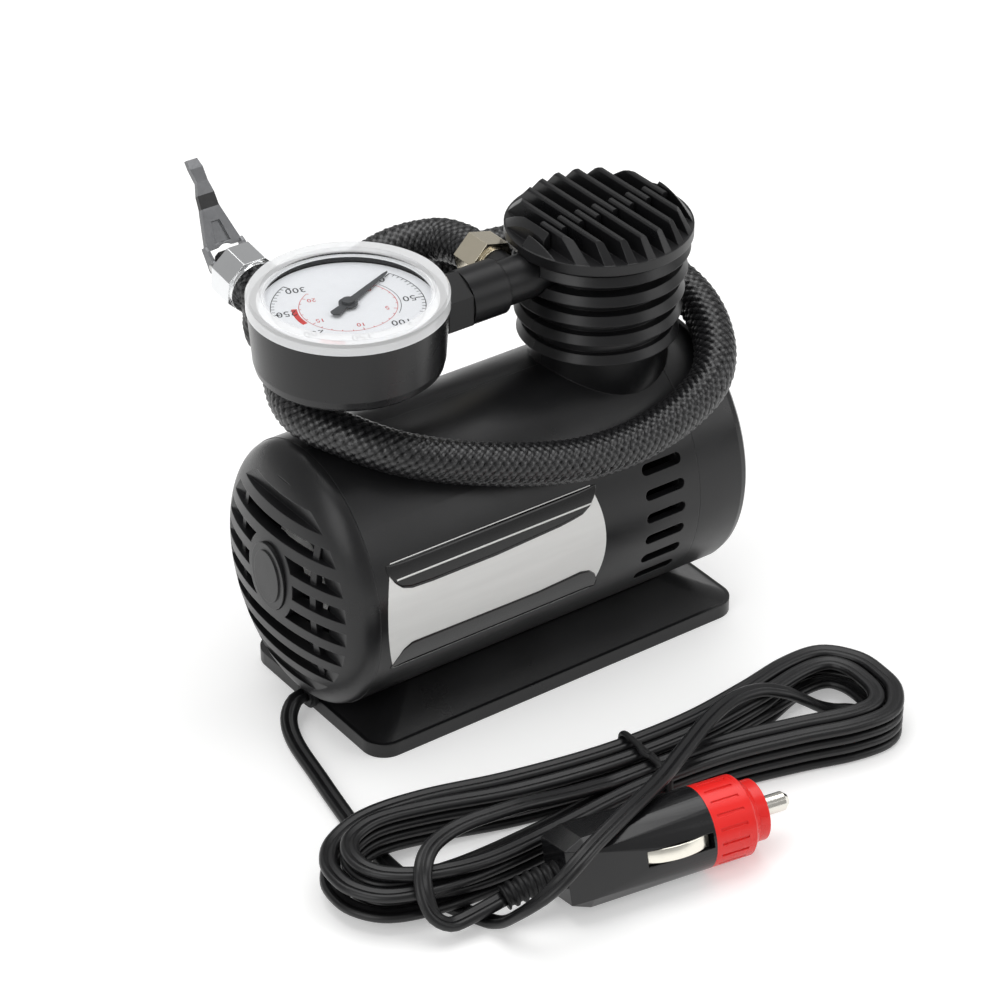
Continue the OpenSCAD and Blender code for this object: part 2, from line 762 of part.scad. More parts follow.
module connecting_rod() {
    color("#b9bcc0") difference() {
        union() {
            x_rod(rod_x0, rod_x0 + rod_w, 5.4, 0, pin_z);
            translate([rod_x0, -3, pin_z]) cube([rod_w, 6, crown_top - 3 - pin_z]);
            translate([cyl_x, 0, crown_top - 6]) cylinder(r1 = 3.4, r2 = bore_r - 1, h = 2.5);
            translate([cyl_x, 0, crown_top - 3.5]) cylinder(r = bore_r - 0.6, h = 2);
        }
        x_rod(rod_x0 - 1, rod_x0 + rod_w + 1, pin_r + 1.2, 0, pin_z);
        translate([rod_x0 - 1, -1.2, pin_z + 8]) cube([1.9, 2.4, 16]);
        translate([rod_x0 + rod_w - 0.9, -1.2, pin_z + 8]) cube([1.9, 2.4, 16]);
    }
}

module rod_bush() {
    color("#b08d4a") difference() {
        x_rod(rod_x0, rod_x0 + rod_w, pin_r + 1.2, 0, pin_z);
        x_rod(rod_x0 - 1, rod_x0 + rod_w + 1, pin_r + run_gap, 0, pin_z);
    }
}

module piston_cup() {
    color("#2a2a2a") translate([cyl_x, 0, 0]) difference() {
        translate([0, 0, crown_top - 1.5]) cylinder(r = bore_r - slide_gap, h = 1.5);
        translate([0, 0, crown_top - 0.7]) cylinder(r = bore_r - 1.2, h = 1);
    }
}

module piston_retainer() {
    color("#c9cacb") translate([cyl_x, 0, crown_top - 0.7]) difference() {
        cylinder(r = bore_r - 1.6, h = 0.7);
        translate([0, 0, -1]) for (a = [0:120:240]) rotate([0, 0, a]) translate([5, 0, 0])
            cylinder(r = 1.1, h = 3);
    }
}

module cylinder_liner() {
    color("#b5b7ba") difference() {
        union() {
            translate([cyl_x, 0, deck_z]) cylinder(r = liner_r, h = valve_face - deck_z);
            translate([cyl_x, 0, deck_z + deck_t]) cylinder(r = neck_bore - 0.2, h = flange_t);
        }
        translate([cyl_x, 0, deck_z - 1]) cylinder(r = bore_r, h = valve_face - deck_z + 2);
        for (a = [45:90:315]) translate([cyl_x + screw_ring * cos(a), screw_ring * sin(a), deck_z])
            cylinder(r = 1.2, h = deck_t + flange_t + 1);
    }
}

module valve_plate() {
    color("#d0c8a8") translate([cyl_x, 0, valve_face]) difference() {
        cylinder(r = neck_bore - 0.2, h = head_z0 - valve_face);
        translate([0, 0, -1]) cylinder(r = 1.5, h = 5);
        for (a = [45:90:315]) rotate([0, 0, a]) translate([screw_ring, 0, -1]) cylinder(r = 1.2, h = 5);
    }
}

module cylinder_head() {
    color("#a4a7ab") difference() {
        translate([cyl_x, 0, head_z0]) cylinder(r = neck_bore - 0.2, h = head_z1 - head_z0);
        translate([cyl_x, 0, head_z0 - 1]) cylinder(r = 4, h = 6);
        x_rod(cyl_x - 20, cyl_x, 1.8, 0, pipe_z);
        x_rod(cyl_x - 20, cyl_x - 10, 4, 0, pipe_z);
        for (a = [45:90:315]) translate([cyl_x + screw_ring * cos(a), screw_ring * sin(a), head_z0 - 1])
            cylinder(r = 1.2, h = 12);
    }
}

module head_screws() {
    color("silver") for (a = [45:90:315])
        translate([cyl_x + screw_ring * cos(a), screw_ring * sin(a), 0]) {
            translate([0, 0, deck_z]) cylinder(r = 0.9, h = head_z1 - deck_z);
            difference() {
                translate([0, 0, head_z1]) cylinder(r = 1.9, h = 1.6);
                translate([-0.3, -2, head_z1 + 0.9]) cube([0.6, 4, 1]);
            }
        }
}

// ---------- air pipe ----------

module outlet_pipe() {
    x1 = cyl_x - neck_bore - 0.5;
    color("#26272a") difference() {
        union() {
            x_rod(0, x1, pipe_r, 0, pipe_z);
            x_rod(x1 - 1, cyl_x - 10.5, 4, 0, pipe_z);
            y_rod(1, 8, pipe_r - 1.3, outlet_x, pipe_z);
            y_rod(7, 14, 3, outlet_x, pipe_z);
        }
        x_rod(-1, cyl_x, 1.8, 0, pipe_z);
        y_rod(0.4, 20, 1.5, outlet_x, pipe_z);
    }
}

module pipe_collar() {
    color("#26272a") difference() {
        union() {
            x_rod(nut_x1 + 0.6, -0.6, 7.3, 0, pipe_z);
            x_rod(nut_x1, 0, 6.7, 0, pipe_z);
        }
        x_rod(nut_x1 - 1, 1, stem_r, 0, pipe_z);
    }
}

module gauge_nut() {
    color("#1d1e20") difference() {
        translate([nut_x0, 0, pipe_z]) rotate([0, 90, 0]) cylinder(r = 8.2, h = nut_x1 - nut_x0, $fn = 6);
        x_rod(nut_x0 - 1, nut_x1 + 1, stem_r, 0, pipe_z);
    }
}

// ---------- gauge ----------

module gauge_case() {
    color("#2b2c2f") difference() {
        translate([gx, 0, 0]) rotate_extrude($fn = 96) polygon([[0, case_z], [case_r - 4, case_z],
            [case_r - 2.1, case_z + 0.6], [case_r - 0.8, case_z + 1.8], [case_r - 0.3, case_z + 3.8],
            [case_top_r, rim_z - 1.7], [case_r, rim_z - 1.7], [case_r, rim_z], [case_r - 1.8, rim_z], [case_r - 2.3, case_z + 4.5],
            [case_r - 4.6, case_z + 2], [0, case_z + 2]]);
        x_rod(gx + 15, gx + 30, stem_r, 0, pipe_z);
    }
}

module gauge_socket() {
    color("#b59a56") difference() {
        union() {
            x_rod(gx + 18.7, 0, stem_r, 0, pipe_z);
            translate([gx + 14, -5, case_z + 2]) cube([4.8, 10, 10]);
        }
        x_rod(gx + 20, 1, 1.8, 0, pipe_z);
    }
}

// C-shaped pressure tube, from the socket round to its free end
module bourdon_tube() {
    color("#c8a85a") translate([gx, 0, case_z + 6]) difference() {
        union() {
            rotate([0, 0, 20]) rotate_extrude(angle = 250) translate([14.8, -2.6]) square([2.4, 5.2]);
            rotate([0, 0, 14]) translate([14.8, -2, -2.6]) cube([2.4, 4, 5.2]);
        }
        translate([12, -6, -10]) cube([10, 11, 20]);
    }
}

module movement_plates() {
    color("#c9b070") translate([gx, 0, 0]) difference() {
        union() {
            for (z = [case_z + 2, dial_z - 2.6]) translate([-6, -8, z]) cube([16, 14, 1.2]);
            for (p = [[-4.5, -6.5], [8.5, -6.5], [-4.5, 4.5]]) translate([p[0], p[1], case_z + 3])
                cylinder(r = 1.2, h = dial_z - 3.6 - case_z);
        }
        translate([0, 0, case_z]) cylinder(r = 0.9 + run_gap, h = 30);
        translate([5.6, 0, case_z]) cylinder(r = 0.9 + run_gap, h = 30);
    }
}

sector_teeth = 22;
arbor_teeth = 6;
sector_d = 5.6;
sector_m = (sector_d - 0.2) * 2 / (sector_teeth + arbor_teeth);

module sector_gear() {
    color("#d6bd7c") translate([gx + sector_d, 0, 0]) {
        translate([0, 0, case_z + 7]) linear_extrude(1.2) difference() {
            intersection() {
                rotate([0, 0, 180 / sector_teeth]) spur(sector_teeth, sector_m, 0.06);
                polygon([[0, 0], [-8, -1.8], [-8, 8], [2, 8]]);
            }
            circle(r = 0.5);
        }
        translate([0, 0, case_z + 7]) cylinder(r = 2, h = 1.2);
        translate([0, 0, case_z + 2.2]) cylinder(r = 0.9, h = dial_z - 1.6 - case_z - 2.2);
    }
}

module pointer_shaft() {
    color("#d6bd7c") translate([gx, 0, 0]) {
        translate([0, 0, case_z + 2.2]) cylinder(r = 0.9, h = dial_z + 1.4 - case_z - 2.2);
        translate([0, 0, case_z + 6.6]) linear_extrude(2) spur(arbor_teeth, sector_m, 0.06);
    }
}

module gauge_dial() {
    color("#f4f4f2") translate([gx, 0, dial_z - 0.6]) difference() {
        cylinder(r = case_r - 2.2, h = 0.6, $fn = 96);
        translate([0, 0, -1]) cylinder(r = 1.3, h = 3);
    }
}

module gauge_needle() {
    color("#4a4a4c") translate([gx, 0, dial_z + 0.7]) rotate([0, 0, needle_zero]) difference() {
        union() {
            linear_extrude(0.5) {
                circle(r = 2.4);
                polygon([[1, 1], [needle_l - 1.5, 0.35], [needle_l, 0], [needle_l - 1.5, -0.35], [1, -1]]);
                polygon([[-1, 0.9], [-6, 1.3], [-6.6, 0], [-6, -1.3], [-1, -0.9]]);
            }
            cylinder(r = 1.6, h = 1.2);
        }
        translate([0, 0, -0.1]) cylinder(r = 0.9, h = 0.8);
    }
}

module gauge_cover() {
    win = case_r - 3.4;
    color([0.85, 0.9, 0.92, 0.35]) translate([gx, 0, 0]) rotate_extrude($fn = 96)
        polygon([[0, rim_z + 0.4], [win, rim_z + 0.4], [win, rim_z], [case_r + 0.1, rim_z],
            [case_r + 0.1, rim_z - 1.6], [cover_r, rim_z - 1.6], [cover_r, cover_z - 0.8],
            [cover_r - 0.6, cover_z], [win + 0.8, cover_z], [win + 0.2, cover_z - 0.9],
            [win - 1.6, cover_z - 0.9], [win - 2, cover_z - 0.5], [0, cover_z - 0.5]]);
}

// ---------- hose and chuck ----------

module hose_nut() {
    color("#c9b26a") difference() {
        union() {
            translate([outlet_x, 9, pipe_z]) rotate([-90, 0, 0]) rotate([0, 0, 15])
                cylinder(d = nut_af / cos(30), h = nut_l, $fn = 6);
            y_rod(8, 9, 5, outlet_x, pipe_z);
        }
        y_rod(7, 14, 3, outlet_x, pipe_z);
        y_rod(13, 12 + nut_l, 2, outlet_x, pipe_z);
    }
}

// Route of the hose, from the nut to the chuck
hose_route = [[outlet_x, 9 + nut_l, pipe_z], [outlet_x, 23, 106.3], [2.4, 31, 105.2], [-8, 36, 103.2],
    [-22, 36, 99.3], [-35, 33, 94.8], [-46, 27.2, 90], [-53, 17, 86.8], [-55.5, 5, 85.2],
    [-51, -8, 84.2], [-43, -17, 81.2], [-33, -22.5, 78], [-22, -26.5, 75], [-10, -29.5, 72],
    [3, -31.5, 69.6], [17, -32, 68.8], [30, -31.2, 69.8], [41.5, -29, 72], [49.5, -26, 75],
    [55.5, -20, 78.5], [59.6, -11, 82.5], [61, -1, 85.5], [59.3, 10, 88], [54, 21, 90], [45, 30, 91.5],
    [32, 36, 92], [18, 39, 91.5], [4, 40.5, 90.2], [-10, 41, 87.8], [-23, 41.3, 85.2], [-34, 41.5, 83.8],
    [-41, 41.3, 85.2], [-43.6, 41.3, 89.3], [-43.1, 42.4, 93.7], [-42.4, 44.8, 96.9], chuck_at];

module air_hose() {
    p = spline(hose_route, 2);
    n = 10;
    out = [0, cos(chuck_tilt), sin(chuck_tilt)];
    echo(hose_length = length_of(spline(hose_route, 8)));
    color("#19191b") sweep_tube(p, [for (q = p) round_ring(hose_d / 2, n)], [0, 1, 0], out);
}

// Places its children on the chuck's axis: local Z runs from the hose to the mouth
module on_chuck() {
    translate(chuck_at) rotate([chuck_tilt - 90, 0, 0]) children();
}

module chuck_nut() {
    color("#d9dadb") on_chuck() difference() {
        union() {
            translate([0, 0, 1.2]) rotate([0, 0, 22.5])
                cylinder(d = chuck_af / cos(22.5), h = chuck_nut_l - 1.2, $fn = 8);
            cylinder(r = chuck_af / 2 - 0.2, h = 1.2);
        }
        translate([0, 0, 1.5]) cylinder(r = 5.5, h = chuck_nut_l);
        translate([0, 0, -1]) cylinder(r = 1.5, h = 5);
    }
}

// Core inside the nut, and the valve's mouth with flat cheeks for the lever
module chuck_body() {
    color("#8d8f93") on_chuck() difference() {
        union() {
            translate([0, 0, 1.5]) cylinder(r = 5.5, h = chuck_nut_l - 1.5);
            intersection() {
                translate([0, 0, chuck_nut_l - 0.5]) cylinder(r = 5.5, h = mouth_l + 0.5);
                translate([-cheek_x, -4.3, 0]) cube([2 * cheek_x, 12, 2 * chuck_nut_l]);
            }
        }
        translate([0, 0, 1]) cylinder(r = 1.5, h = 30);
        translate([0, 0, 4]) cylinder(r = 3.9, h = 20);
        translate([0, 0, chuck_nut_l - 5.6]) cylinder(r = 4.6, h = 4.5);
        translate([-20, -lever_rise, lever_v]) rotate([0, 90, 0]) cylinder(r = lever_pin_r, h = 40);
    }
}

module chuck_seal() {
    color("#1a1a1a") on_chuck() translate([0, 0, chuck_nut_l - 5.55]) difference() {
        cylinder(r = 4.55, h = 4.4);
        translate([0, 0, -1]) cylinder(r = 3.9, h = 8);
    }
}

module lever_pin() {
    color("silver") translate(lever_pivot) for (s = [-1, 1])
        translate([s > 0 ? cheek_x - 0.6 : -ear_x - 0.3, 0, 0])
            rotate([0, 90, 0]) cylinder(r = lever_pin_r, h = ear_x - cheek_x + 0.9);
}

// Two ears outside the mouth's cheeks, and a waisted thumb plate that leans back clear of the valve's way in
module chuck_lever() {
    color("#85878c") difference() {
        lever_plate();
        on_chuck() translate([0, 0, chuck_nut_l]) cylinder(r = 4.05, h = 40);
    }
}

module lever_plate() {
    translate(lever_pivot) rotate([-lever_lean, 0, 0]) difference() {
        union() {
            for (s = [-1, 1]) translate([s > 0 ? ear_x - ear_t : -ear_x, 0, 0]) {
                rotate([0, 90, 0]) cylinder(r = 2, h = ear_t);
                rotate([90, 0, 90]) linear_extrude(ear_t)
                    polygon([[-1.9, -0.5], [1.9, -0.5], [1.8, 5.6], [0, 5.6], [-0.7, 4.4]]);
            }
            translate([-ear_x, 0, 4.4]) cube([2 * ear_x, 1.8, 1.2]);
            intersection() {
                translate([0, 10, 0]) rotate([90, 0, 0]) linear_extrude(20) polygon([
                    [-5.2, 4.5], [5.2, 4.5], [5.2, 5.2], [2.85, 14.6], [2.65, 15.4], [2.5, 18.7], [1.65, 22],
                    [1.95, 25.8], [1.65, lever_l], [-1.65, lever_l], [-1.95, 25.8], [-1.65, 22],
                    [-2.5, 18.7], [-2.65, 15.4], [-2.85, 14.6], [-5.2, 5.2]]);
                translate([-10, 0, 0]) rotate([90, 0, 90]) linear_extrude(20) polygon([
                    [0, 4.4], [0, 14.6], [-0.5, 18.7], [-1.1, 22], [-0.6, 25.8], [0.3, lever_l + 0.1],
                    [1.6, lever_l + 0.1], [0.9, 25.8], [0.5, 22], [1.1, 18.7], [1.8, 14.6], [1.8, 4.4]]);
            }
        }
        rotate([0, 90, 0]) cylinder(r = lever_pin_r + run_gap, h = 22, center = true);
        translate([0, 0.6, 0]) rotate([90, 0, 0]) linear_extrude(2)
            polygon([[-2.3, 5.6], [2.3, 5.6], [1.3, 11.4], [-1.3, 11.4]]);
    }
}

// ---------- cord, hank and plug ----------

gland_x0 = -61.5;
gland_x1 = -54;
gland_r = 3.2;
gland_z = 5.2;

module cord_gland() {
    color("#161617") {
        x_rod(gland_x0, gland_x1, gland_r, 0, gland_z);
        x_rod(gland_x0 + 0.6, gland_x0 + 1.6, gland_r + 0.7, 0, gland_z);
    }
}

// Section of the flat twin cord, n corners, lying flat
function cord_ring(n) = oval_ring(cord_w / 2, cord_t / 2, n);

// Free stretch from the body to the hank
cord_route = [[gland_x0, 0, gland_z], [-65, -0.4, 4.7], [-69, -4, 2.6], [-72, -12, 1.3], [-75, -27, 1.3],
    [-77.5, -40, 1.3], [-79.5, -52, 1.3], [-80.5, -62, 1.3], [-80.5, -72, 1.3], [-79.2, -80.5, 1.3],
    [-77.5, -87.8, 1.3], [-75.4, -93, 1.35], [-74, -96.8, 1.5], [-73, -100.4, 2.3], [-72.3, -104, 4.6],
    [-71.2, -107.4, 8.2], [-69.6, -110.4, 11.8], [-66.9, -112.9, 15.6], [-62.9, -114.1, 19.3], [-57.4, -113.4, 22.1],
    [-50.2, -110.9, 23.2], [-38.7, -106.6, 23.4], [-24, -100, 21.8], [-9, -91, 19.2], [6, -82.5, 17.4],
    [18, -77.6, 15.8], [27.5, -76.8, 14.2],
    [34, -78.8, 12], [39.2, -80.2, 8.4], [44, -81, 4.6], [48.8, -82.2, 2], [52.6, -84.2, 1.4],
    [54, -87.6, 1.4], [52.6, -91.1, 1.4], [49.2, -92.9, 1.4], [44, -93, 1.4],
    [38.6, -91.9, 1.4]];

// Hank: half length, half widths at its two ends and at the tied waist
hank_mid = [-19.2, -78.6, 0];
hank_turn = -4.2;
hank_half_l = 75.4;
hank_open_left = 17.5;
hank_open_right = 34;
hank_waist = 2.9;
col_step = cord_w + 0.55;
row_step = cord_t + 0.6;
loop_rings = 24;
hank_start = 1 / 6;
hank_end = 6.25;

// Moves between the lanes of the hank: [start in loops, column, row]
moves = [[0.82, 1, 0], [1.58, 1, 1], [2.32, 0, 1], [3.08, 0, 2], [3.82, 1, 2], [4.58, 1, 3], [5.32, 0, 3]];
move_l = 0.12;

function ease(t) = t <= 0 ? 0 : t >= 1 ? 1 : t * t * (3 - 2 * t);
function lane(s, k, from = 0, i = 0) = i >= len(moves) ? from
    : lane(s, k, mix(from, moves[i][k], ease((s - moves[i][0]) / move_l)), i + 1);

// Loop outline: a long blunt oval drawn in at the waist, run clockwise
function loop_xy(s) = let(a = -360 * s, c = cos(a), q = sin(a),
        w = (c - 0.11) * (c - 0.11), open = mix(hank_open_left, hank_open_right, (c + 1) / 2))
    [hank_half_l * c * (1 + 0.35 * q * q), q * (hank_waist + open * w * (1.25 - 0.5 * w))];
function loop_out(s) = let(d = unit(loop_xy(s + 0.002) - loop_xy(s - 0.002))) [-d[1], d[0]];
function hank_point(s) = let(q = loop_xy(s) + loop_out(s) * col_step * lane(s, 1),
    lift = (cord_t + 0.7) * ease((-35 - q[0]) / 24))
    hank_mid + [q[0] * cos(hank_turn) - q[1] * sin(hank_turn),
        q[0] * sin(hank_turn) + q[1] * cos(hank_turn), cord_t / 2 + 0.15 + row_step * lane(s, 2) + lift];

hank_path = [for (i = [0:(hank_end - hank_start) * loop_rings]) hank_point(hank_start + i / loop_rings)];

// Free stretch from the hank to the plug
relief_end = on_plug_at([-grip_l - 14, 0, -3.2]);
relief_dir = unit([-cos(plug_turn), -sin(plug_turn), -0.27]);
tail_route = [[-27.8, -81.2, 12.7], [-31.5, -84.8, 15.4], [-36.4, -89, 16.7], [-44, -88, 16.8], [-52, -84.6, 17.2],
    [-60, -82.4, 17.4],
    [-67, -81.4, 17.6], [-74, -82, 17.6], [-80.5, -84.4, 17.4], [-85, -88.2, 16], [-87.2, -92, 12],
    [-86.8, -95.2, 7.2], [-83.8, -97.2, 4.6], [-79.8, -97.6, 4.4], relief_end + cord_w * relief_dir, relief_end];

module free_cord(route, start_dir = undef, end_dir = undef) {
    p = spline(route, 2);
    sweep_tube(p, [for (q = p) cord_ring(8)], start_dir, end_dir);
}

module power_cord() {
    n = len(hank_path);
    first = hank_path[0] - cord_w * heading(hank_path, 0);
    last = hank_path[n - 1] + cord_w * heading(hank_path, n - 1);
    from_body = concat(cord_route, [first, hank_path[0]]);
    to_plug = concat([hank_path[n - 1], last], tail_route);
    echo(cord_from_body = length_of(spline(from_body, 8)), cord_to_plug = length_of(spline(to_plug, 8)));
    color("#19191b") {
        free_cord(from_body, [-1, 0, 0], heading(hank_path, 0));
        free_cord(to_plug, heading(hank_path, n - 1), -relief_dir);
    }
}

// Corners of the hank's ring i, and the least gap between rings of different loops
function ring_points(i) = let(t = heading(hank_path, i), a = unit(cross(t, [0, 0, 1])), u = cross(a, t))
    [for (q = cord_ring(6)) hank_path[i] + a * q[0] + u * q[1]];
hank_rings = [for (i = [0:len(hank_path) - 1]) ring_points(i)];
function least_gap() = let(n = len(hank_path)) min([for (i = [0:n - 1], k = [1:6], j = [-1:1])
    let(m = i + loop_rings * k + j) if (m < n) min([for (p = hank_rings[i], q = hank_rings[m]) norm(p - q)])]);

module cord_hank() {
    echo(hank_length = length_of(hank_path), hank_least_gap = least_gap());
    color("#19191b") sweep_tube(hank_path, [for (q = hank_path) cord_ring(6)]);
}

module cord_tie() {
    color("#111112") translate([hank_mid[0], hank_mid[1], 0]) rotate([0, 0, hank_turn]) translate([8, 0, 0])
        rotate([90, 0, 90]) linear_extrude(2.2, center = true) difference() {
            translate([-11.8, 0]) square([23.6, 13.6]);
            translate([-10.8, 0.2]) square([21.6, 12.4]);
        }
}

// Places its children on the plug's axis: local X runs from the grip to the tip
module on_plug(roll = plug_roll) {
    translate(plug_at) rotate([0, 0, plug_turn]) rotate([roll, 0, 0]) children();
}

function on_plug_at(v) = plug_at + [v[0] * cos(plug_turn) - v[1] * sin(plug_turn),
    v[0] * sin(plug_turn) + v[1] * cos(plug_turn), v[2]];

relief_route = [[0, 0, -1.5], [-4, 0, -1.5], [-8, 0, -1.8], [-11, 0, -2.4], [-14, 0, -3.2]];

module plug_relief() {
    color("#161617") on_plug(0) translate([-grip_l, 0, 0]) {
        p = spline(relief_route, 3);
        sweep_tube(p, [for (i = [0:len(p) - 1]) round_ring(i % 2 == 0 ? 4 - i * 0.06 : 3.1 - i * 0.03, 8)],
            [-1, 0, 0], unit([-1, 0, -0.27]));
    }
}

module plug_grip() {
    color("#232326") on_plug() difference() {
        hull() {
            x_rod(-8, 0, plug_r);
            translate([-grip_l + 5, 0, 0]) rotate([0, 90, 0]) linear_extrude(1) {
                square([18, 12], center = true);
                square([12, 18], center = true);
            }
            translate([-grip_l, 0, 0]) rotate([0, 90, 0]) linear_extrude(1)
                square([14, 13], center = true);
        }
        x_rod(-28, 1, 4.2);
        for (s = [-1, 1]) translate([-18.6, s > 0 ? 6.5 : -12.5, -2]) cube([18, 6, 4]);
    }
}

module plug_collar() {
    color("#d8261c") on_plug() difference() {
        union() {
            x_rod(0, collar_l * 0.68, plug_r - 0.05);
            translate([collar_l * 0.68, 0, 0]) rotate([0, 90, 0]) cylinder(r1 = plug_r - 0.05, r2 = 8, h = 2.2);
            x_rod(collar_l * 0.68, collar_l, 7.8);
        }
        x_rod(-1, collar_l - 3, 4.2);
        x_rod(-1, collar_l + 1, tip_r + run_gap);
        for (a = [0:20:340]) rotate([a, 0, 0]) translate([1.5, -0.35, plug_r - 0.4]) cube([7.5, 0.7, 1]);
    }
}

module plug_fuse() {
    color("#cfd6d8") on_plug() {
        x_rod(-28, 1.8, 2.5);
        x_rod(-28, -22, 2.9);
        x_rod(-4.2, 1.8, 2.9);
    }
}

module tip_spring() {
    turns = 6;
    p = [for (i = [0:turns * 8]) let(a = i * 45)
        [i / 8 * 1.2 - 2.3, 3.5 * cos(a), 3.5 * sin(a)]];
    color("silver") on_plug() coil(p, 0.35);
}

// Wire of radius r wound along local X through the points p
module coil(p, r) {
    n = 6;
    m = len(p);
    pts = [for (i = [0:m - 1]) let(t = heading(p, i), a = unit(cross(t, [1, 0, 0])), u = cross(a, t),
        q = round_ring(r, n)) for (c = q) p[i] + a * c[0] + u * c[1]];
    walls = [for (i = [0:m - 2], j = [0:n - 1], k = [0:1])
        let(a = i * n + j, b = i * n + (j + 1) % n)
        k == 0 ? [a, a + n, b] : [b, a + n, b + n]];
    polyhedron(points = pts, faces = concat(walls, [for (j = [1:n - 2]) [0, j, j + 1]],
        [for (j = [1:n - 2]) [(m - 1) * n, (m - 1) * n + j + 1, (m - 1) * n + j]]));
}

module plug_tip() {
    color("#d9dadb") on_plug() {
        x_rod(5.2, collar_l - 3.1, 3.9);
        x_rod(5.2, collar_l + tip_l - 1.8, tip_r);
        translate([collar_l + tip_l - 1.8, 0, 0]) rotate([0, 90, 0]) cylinder(r1 = tip_r, r2 = tip_r - 1, h = 1.2);
        translate([collar_l + tip_l - 0.6, 0, 0]) rotate([0, 90, 0])
            cylinder(r1 = tip_r - 1, r2 = tip_r - 2.2, h = 0.6);
    }
}

module plug_springs() {
    color("#d9dadb") on_plug() for (s = [-1, 1]) mirror([0, s > 0 ? 0 : 1, 0])
        translate([-18.2, 0, -1.8]) linear_extrude(3.6)
            polygon([[0, 7.2], [3, 7.2], [5, 9.4], [9, 11], [13, 9.9], [17, 7.6], [17, 6.8],
                [13, 9.1], [9, 10.2], [5.4, 8.6], [3.4, 6.6], [0, 6.6]]);
}

base_plate();
base_screws();
housing_left();
housing_right();
housing_screws();
front_grille();
grille_badge();
rear_cap();
side_label();
motor_can();
motor_magnets();
motor_end_bell();
motor_bushes();
rotor_shaft();
armature();
commutator();
cooling_fan();
motor_pinion();
drive_frame();
motor_screws();
gear_axle();
crank_gear();
connecting_rod();
rod_bush();
piston_cup();
piston_retainer();
cylinder_liner();
valve_plate();
cylinder_head();
head_screws();
outlet_pipe();
pipe_collar();
gauge_nut();
gauge_case();
gauge_socket();
bourdon_tube();
movement_plates();
sector_gear();
pointer_shaft();
gauge_dial();
gauge_needle();
gauge_cover();
hose_nut();
air_hose();
chuck_body();
chuck_nut();
chuck_seal();
lever_pin();
chuck_lever();
cord_gland();
power_cord();
cord_hank();
cord_tie();
plug_relief();
plug_grip();
plug_collar();
plug_fuse();
tip_spring();
plug_tip();
plug_springs();
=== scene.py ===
"""Builds the finished look of a portable tire inflator round its CAD frame.

The frame holds every rigid piece at its real size. This script gives each of them its finish and adds the
braided hose, the twin power cord with its hank, the wire tie, the plug's relief boot and side contacts, the
gauge's print, the side label's bands, the floor, the lamps and the camera. Lengths are millimetres, but the
lamps, the camera's place and the node trees are in metres.
"""

import math

import bmesh
import bpy
import numpy as np
from bpy.props import FloatProperty, FloatVectorProperty, IntProperty, PointerProperty
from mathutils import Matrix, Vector


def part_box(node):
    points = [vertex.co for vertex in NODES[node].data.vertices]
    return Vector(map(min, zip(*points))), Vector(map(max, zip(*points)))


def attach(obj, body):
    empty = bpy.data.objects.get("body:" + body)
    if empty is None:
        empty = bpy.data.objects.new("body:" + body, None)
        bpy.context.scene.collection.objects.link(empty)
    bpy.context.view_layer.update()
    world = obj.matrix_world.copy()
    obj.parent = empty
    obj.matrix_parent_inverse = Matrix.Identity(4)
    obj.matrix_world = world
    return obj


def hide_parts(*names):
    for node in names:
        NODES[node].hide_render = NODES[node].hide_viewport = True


bl_info = {
    "name": "Tire Inflator Finish",
    "version": (1, 0, 0),
    "blender": (4, 5, 0),
    "location": "View3D > Sidebar > Inflator",
    "description": "Finishes, soft lines and small parts of a portable tire inflator",
    "category": "Object",
}

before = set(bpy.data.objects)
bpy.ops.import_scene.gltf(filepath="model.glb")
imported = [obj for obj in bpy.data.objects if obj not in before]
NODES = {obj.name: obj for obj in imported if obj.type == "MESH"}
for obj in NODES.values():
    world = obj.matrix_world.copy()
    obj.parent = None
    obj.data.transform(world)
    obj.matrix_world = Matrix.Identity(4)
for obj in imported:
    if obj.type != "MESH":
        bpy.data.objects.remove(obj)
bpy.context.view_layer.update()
MM = 0.001
UP = np.array([0.0, 0.0, 1.0])
# Each finish's material by its name here, because the frame has materials with some of these names.
FINISHES = {}


# ---------- body and gauge ----------

BODY_HALF_W = 32.5
BODY_HALF_H = 36.35
BODY_MID_Z = 42.65
END_ARC = BODY_HALF_W - 2
END_OFF = BODY_HALF_H - END_ARC
SIDE_ARC = (BODY_HALF_W**2 + END_OFF**2 - END_ARC**2) / (2 * (BODY_HALF_W - END_ARC))
SIDE_OFF = SIDE_ARC - BODY_HALF_W
ARC_JOIN = END_OFF + END_ARC * END_OFF / (SIDE_ARC - END_ARC)

GAUGE_X = -44.8
DIAL_Z = 115.4
# The crystal is clear inside the first radius and milky beyond the second: the milky white is painted light,
# standing in for the light that the clear stepped rim refracts and reflects.
WINDOW_R = (20.2, 21.2)

# ---------- hose and chuck ----------

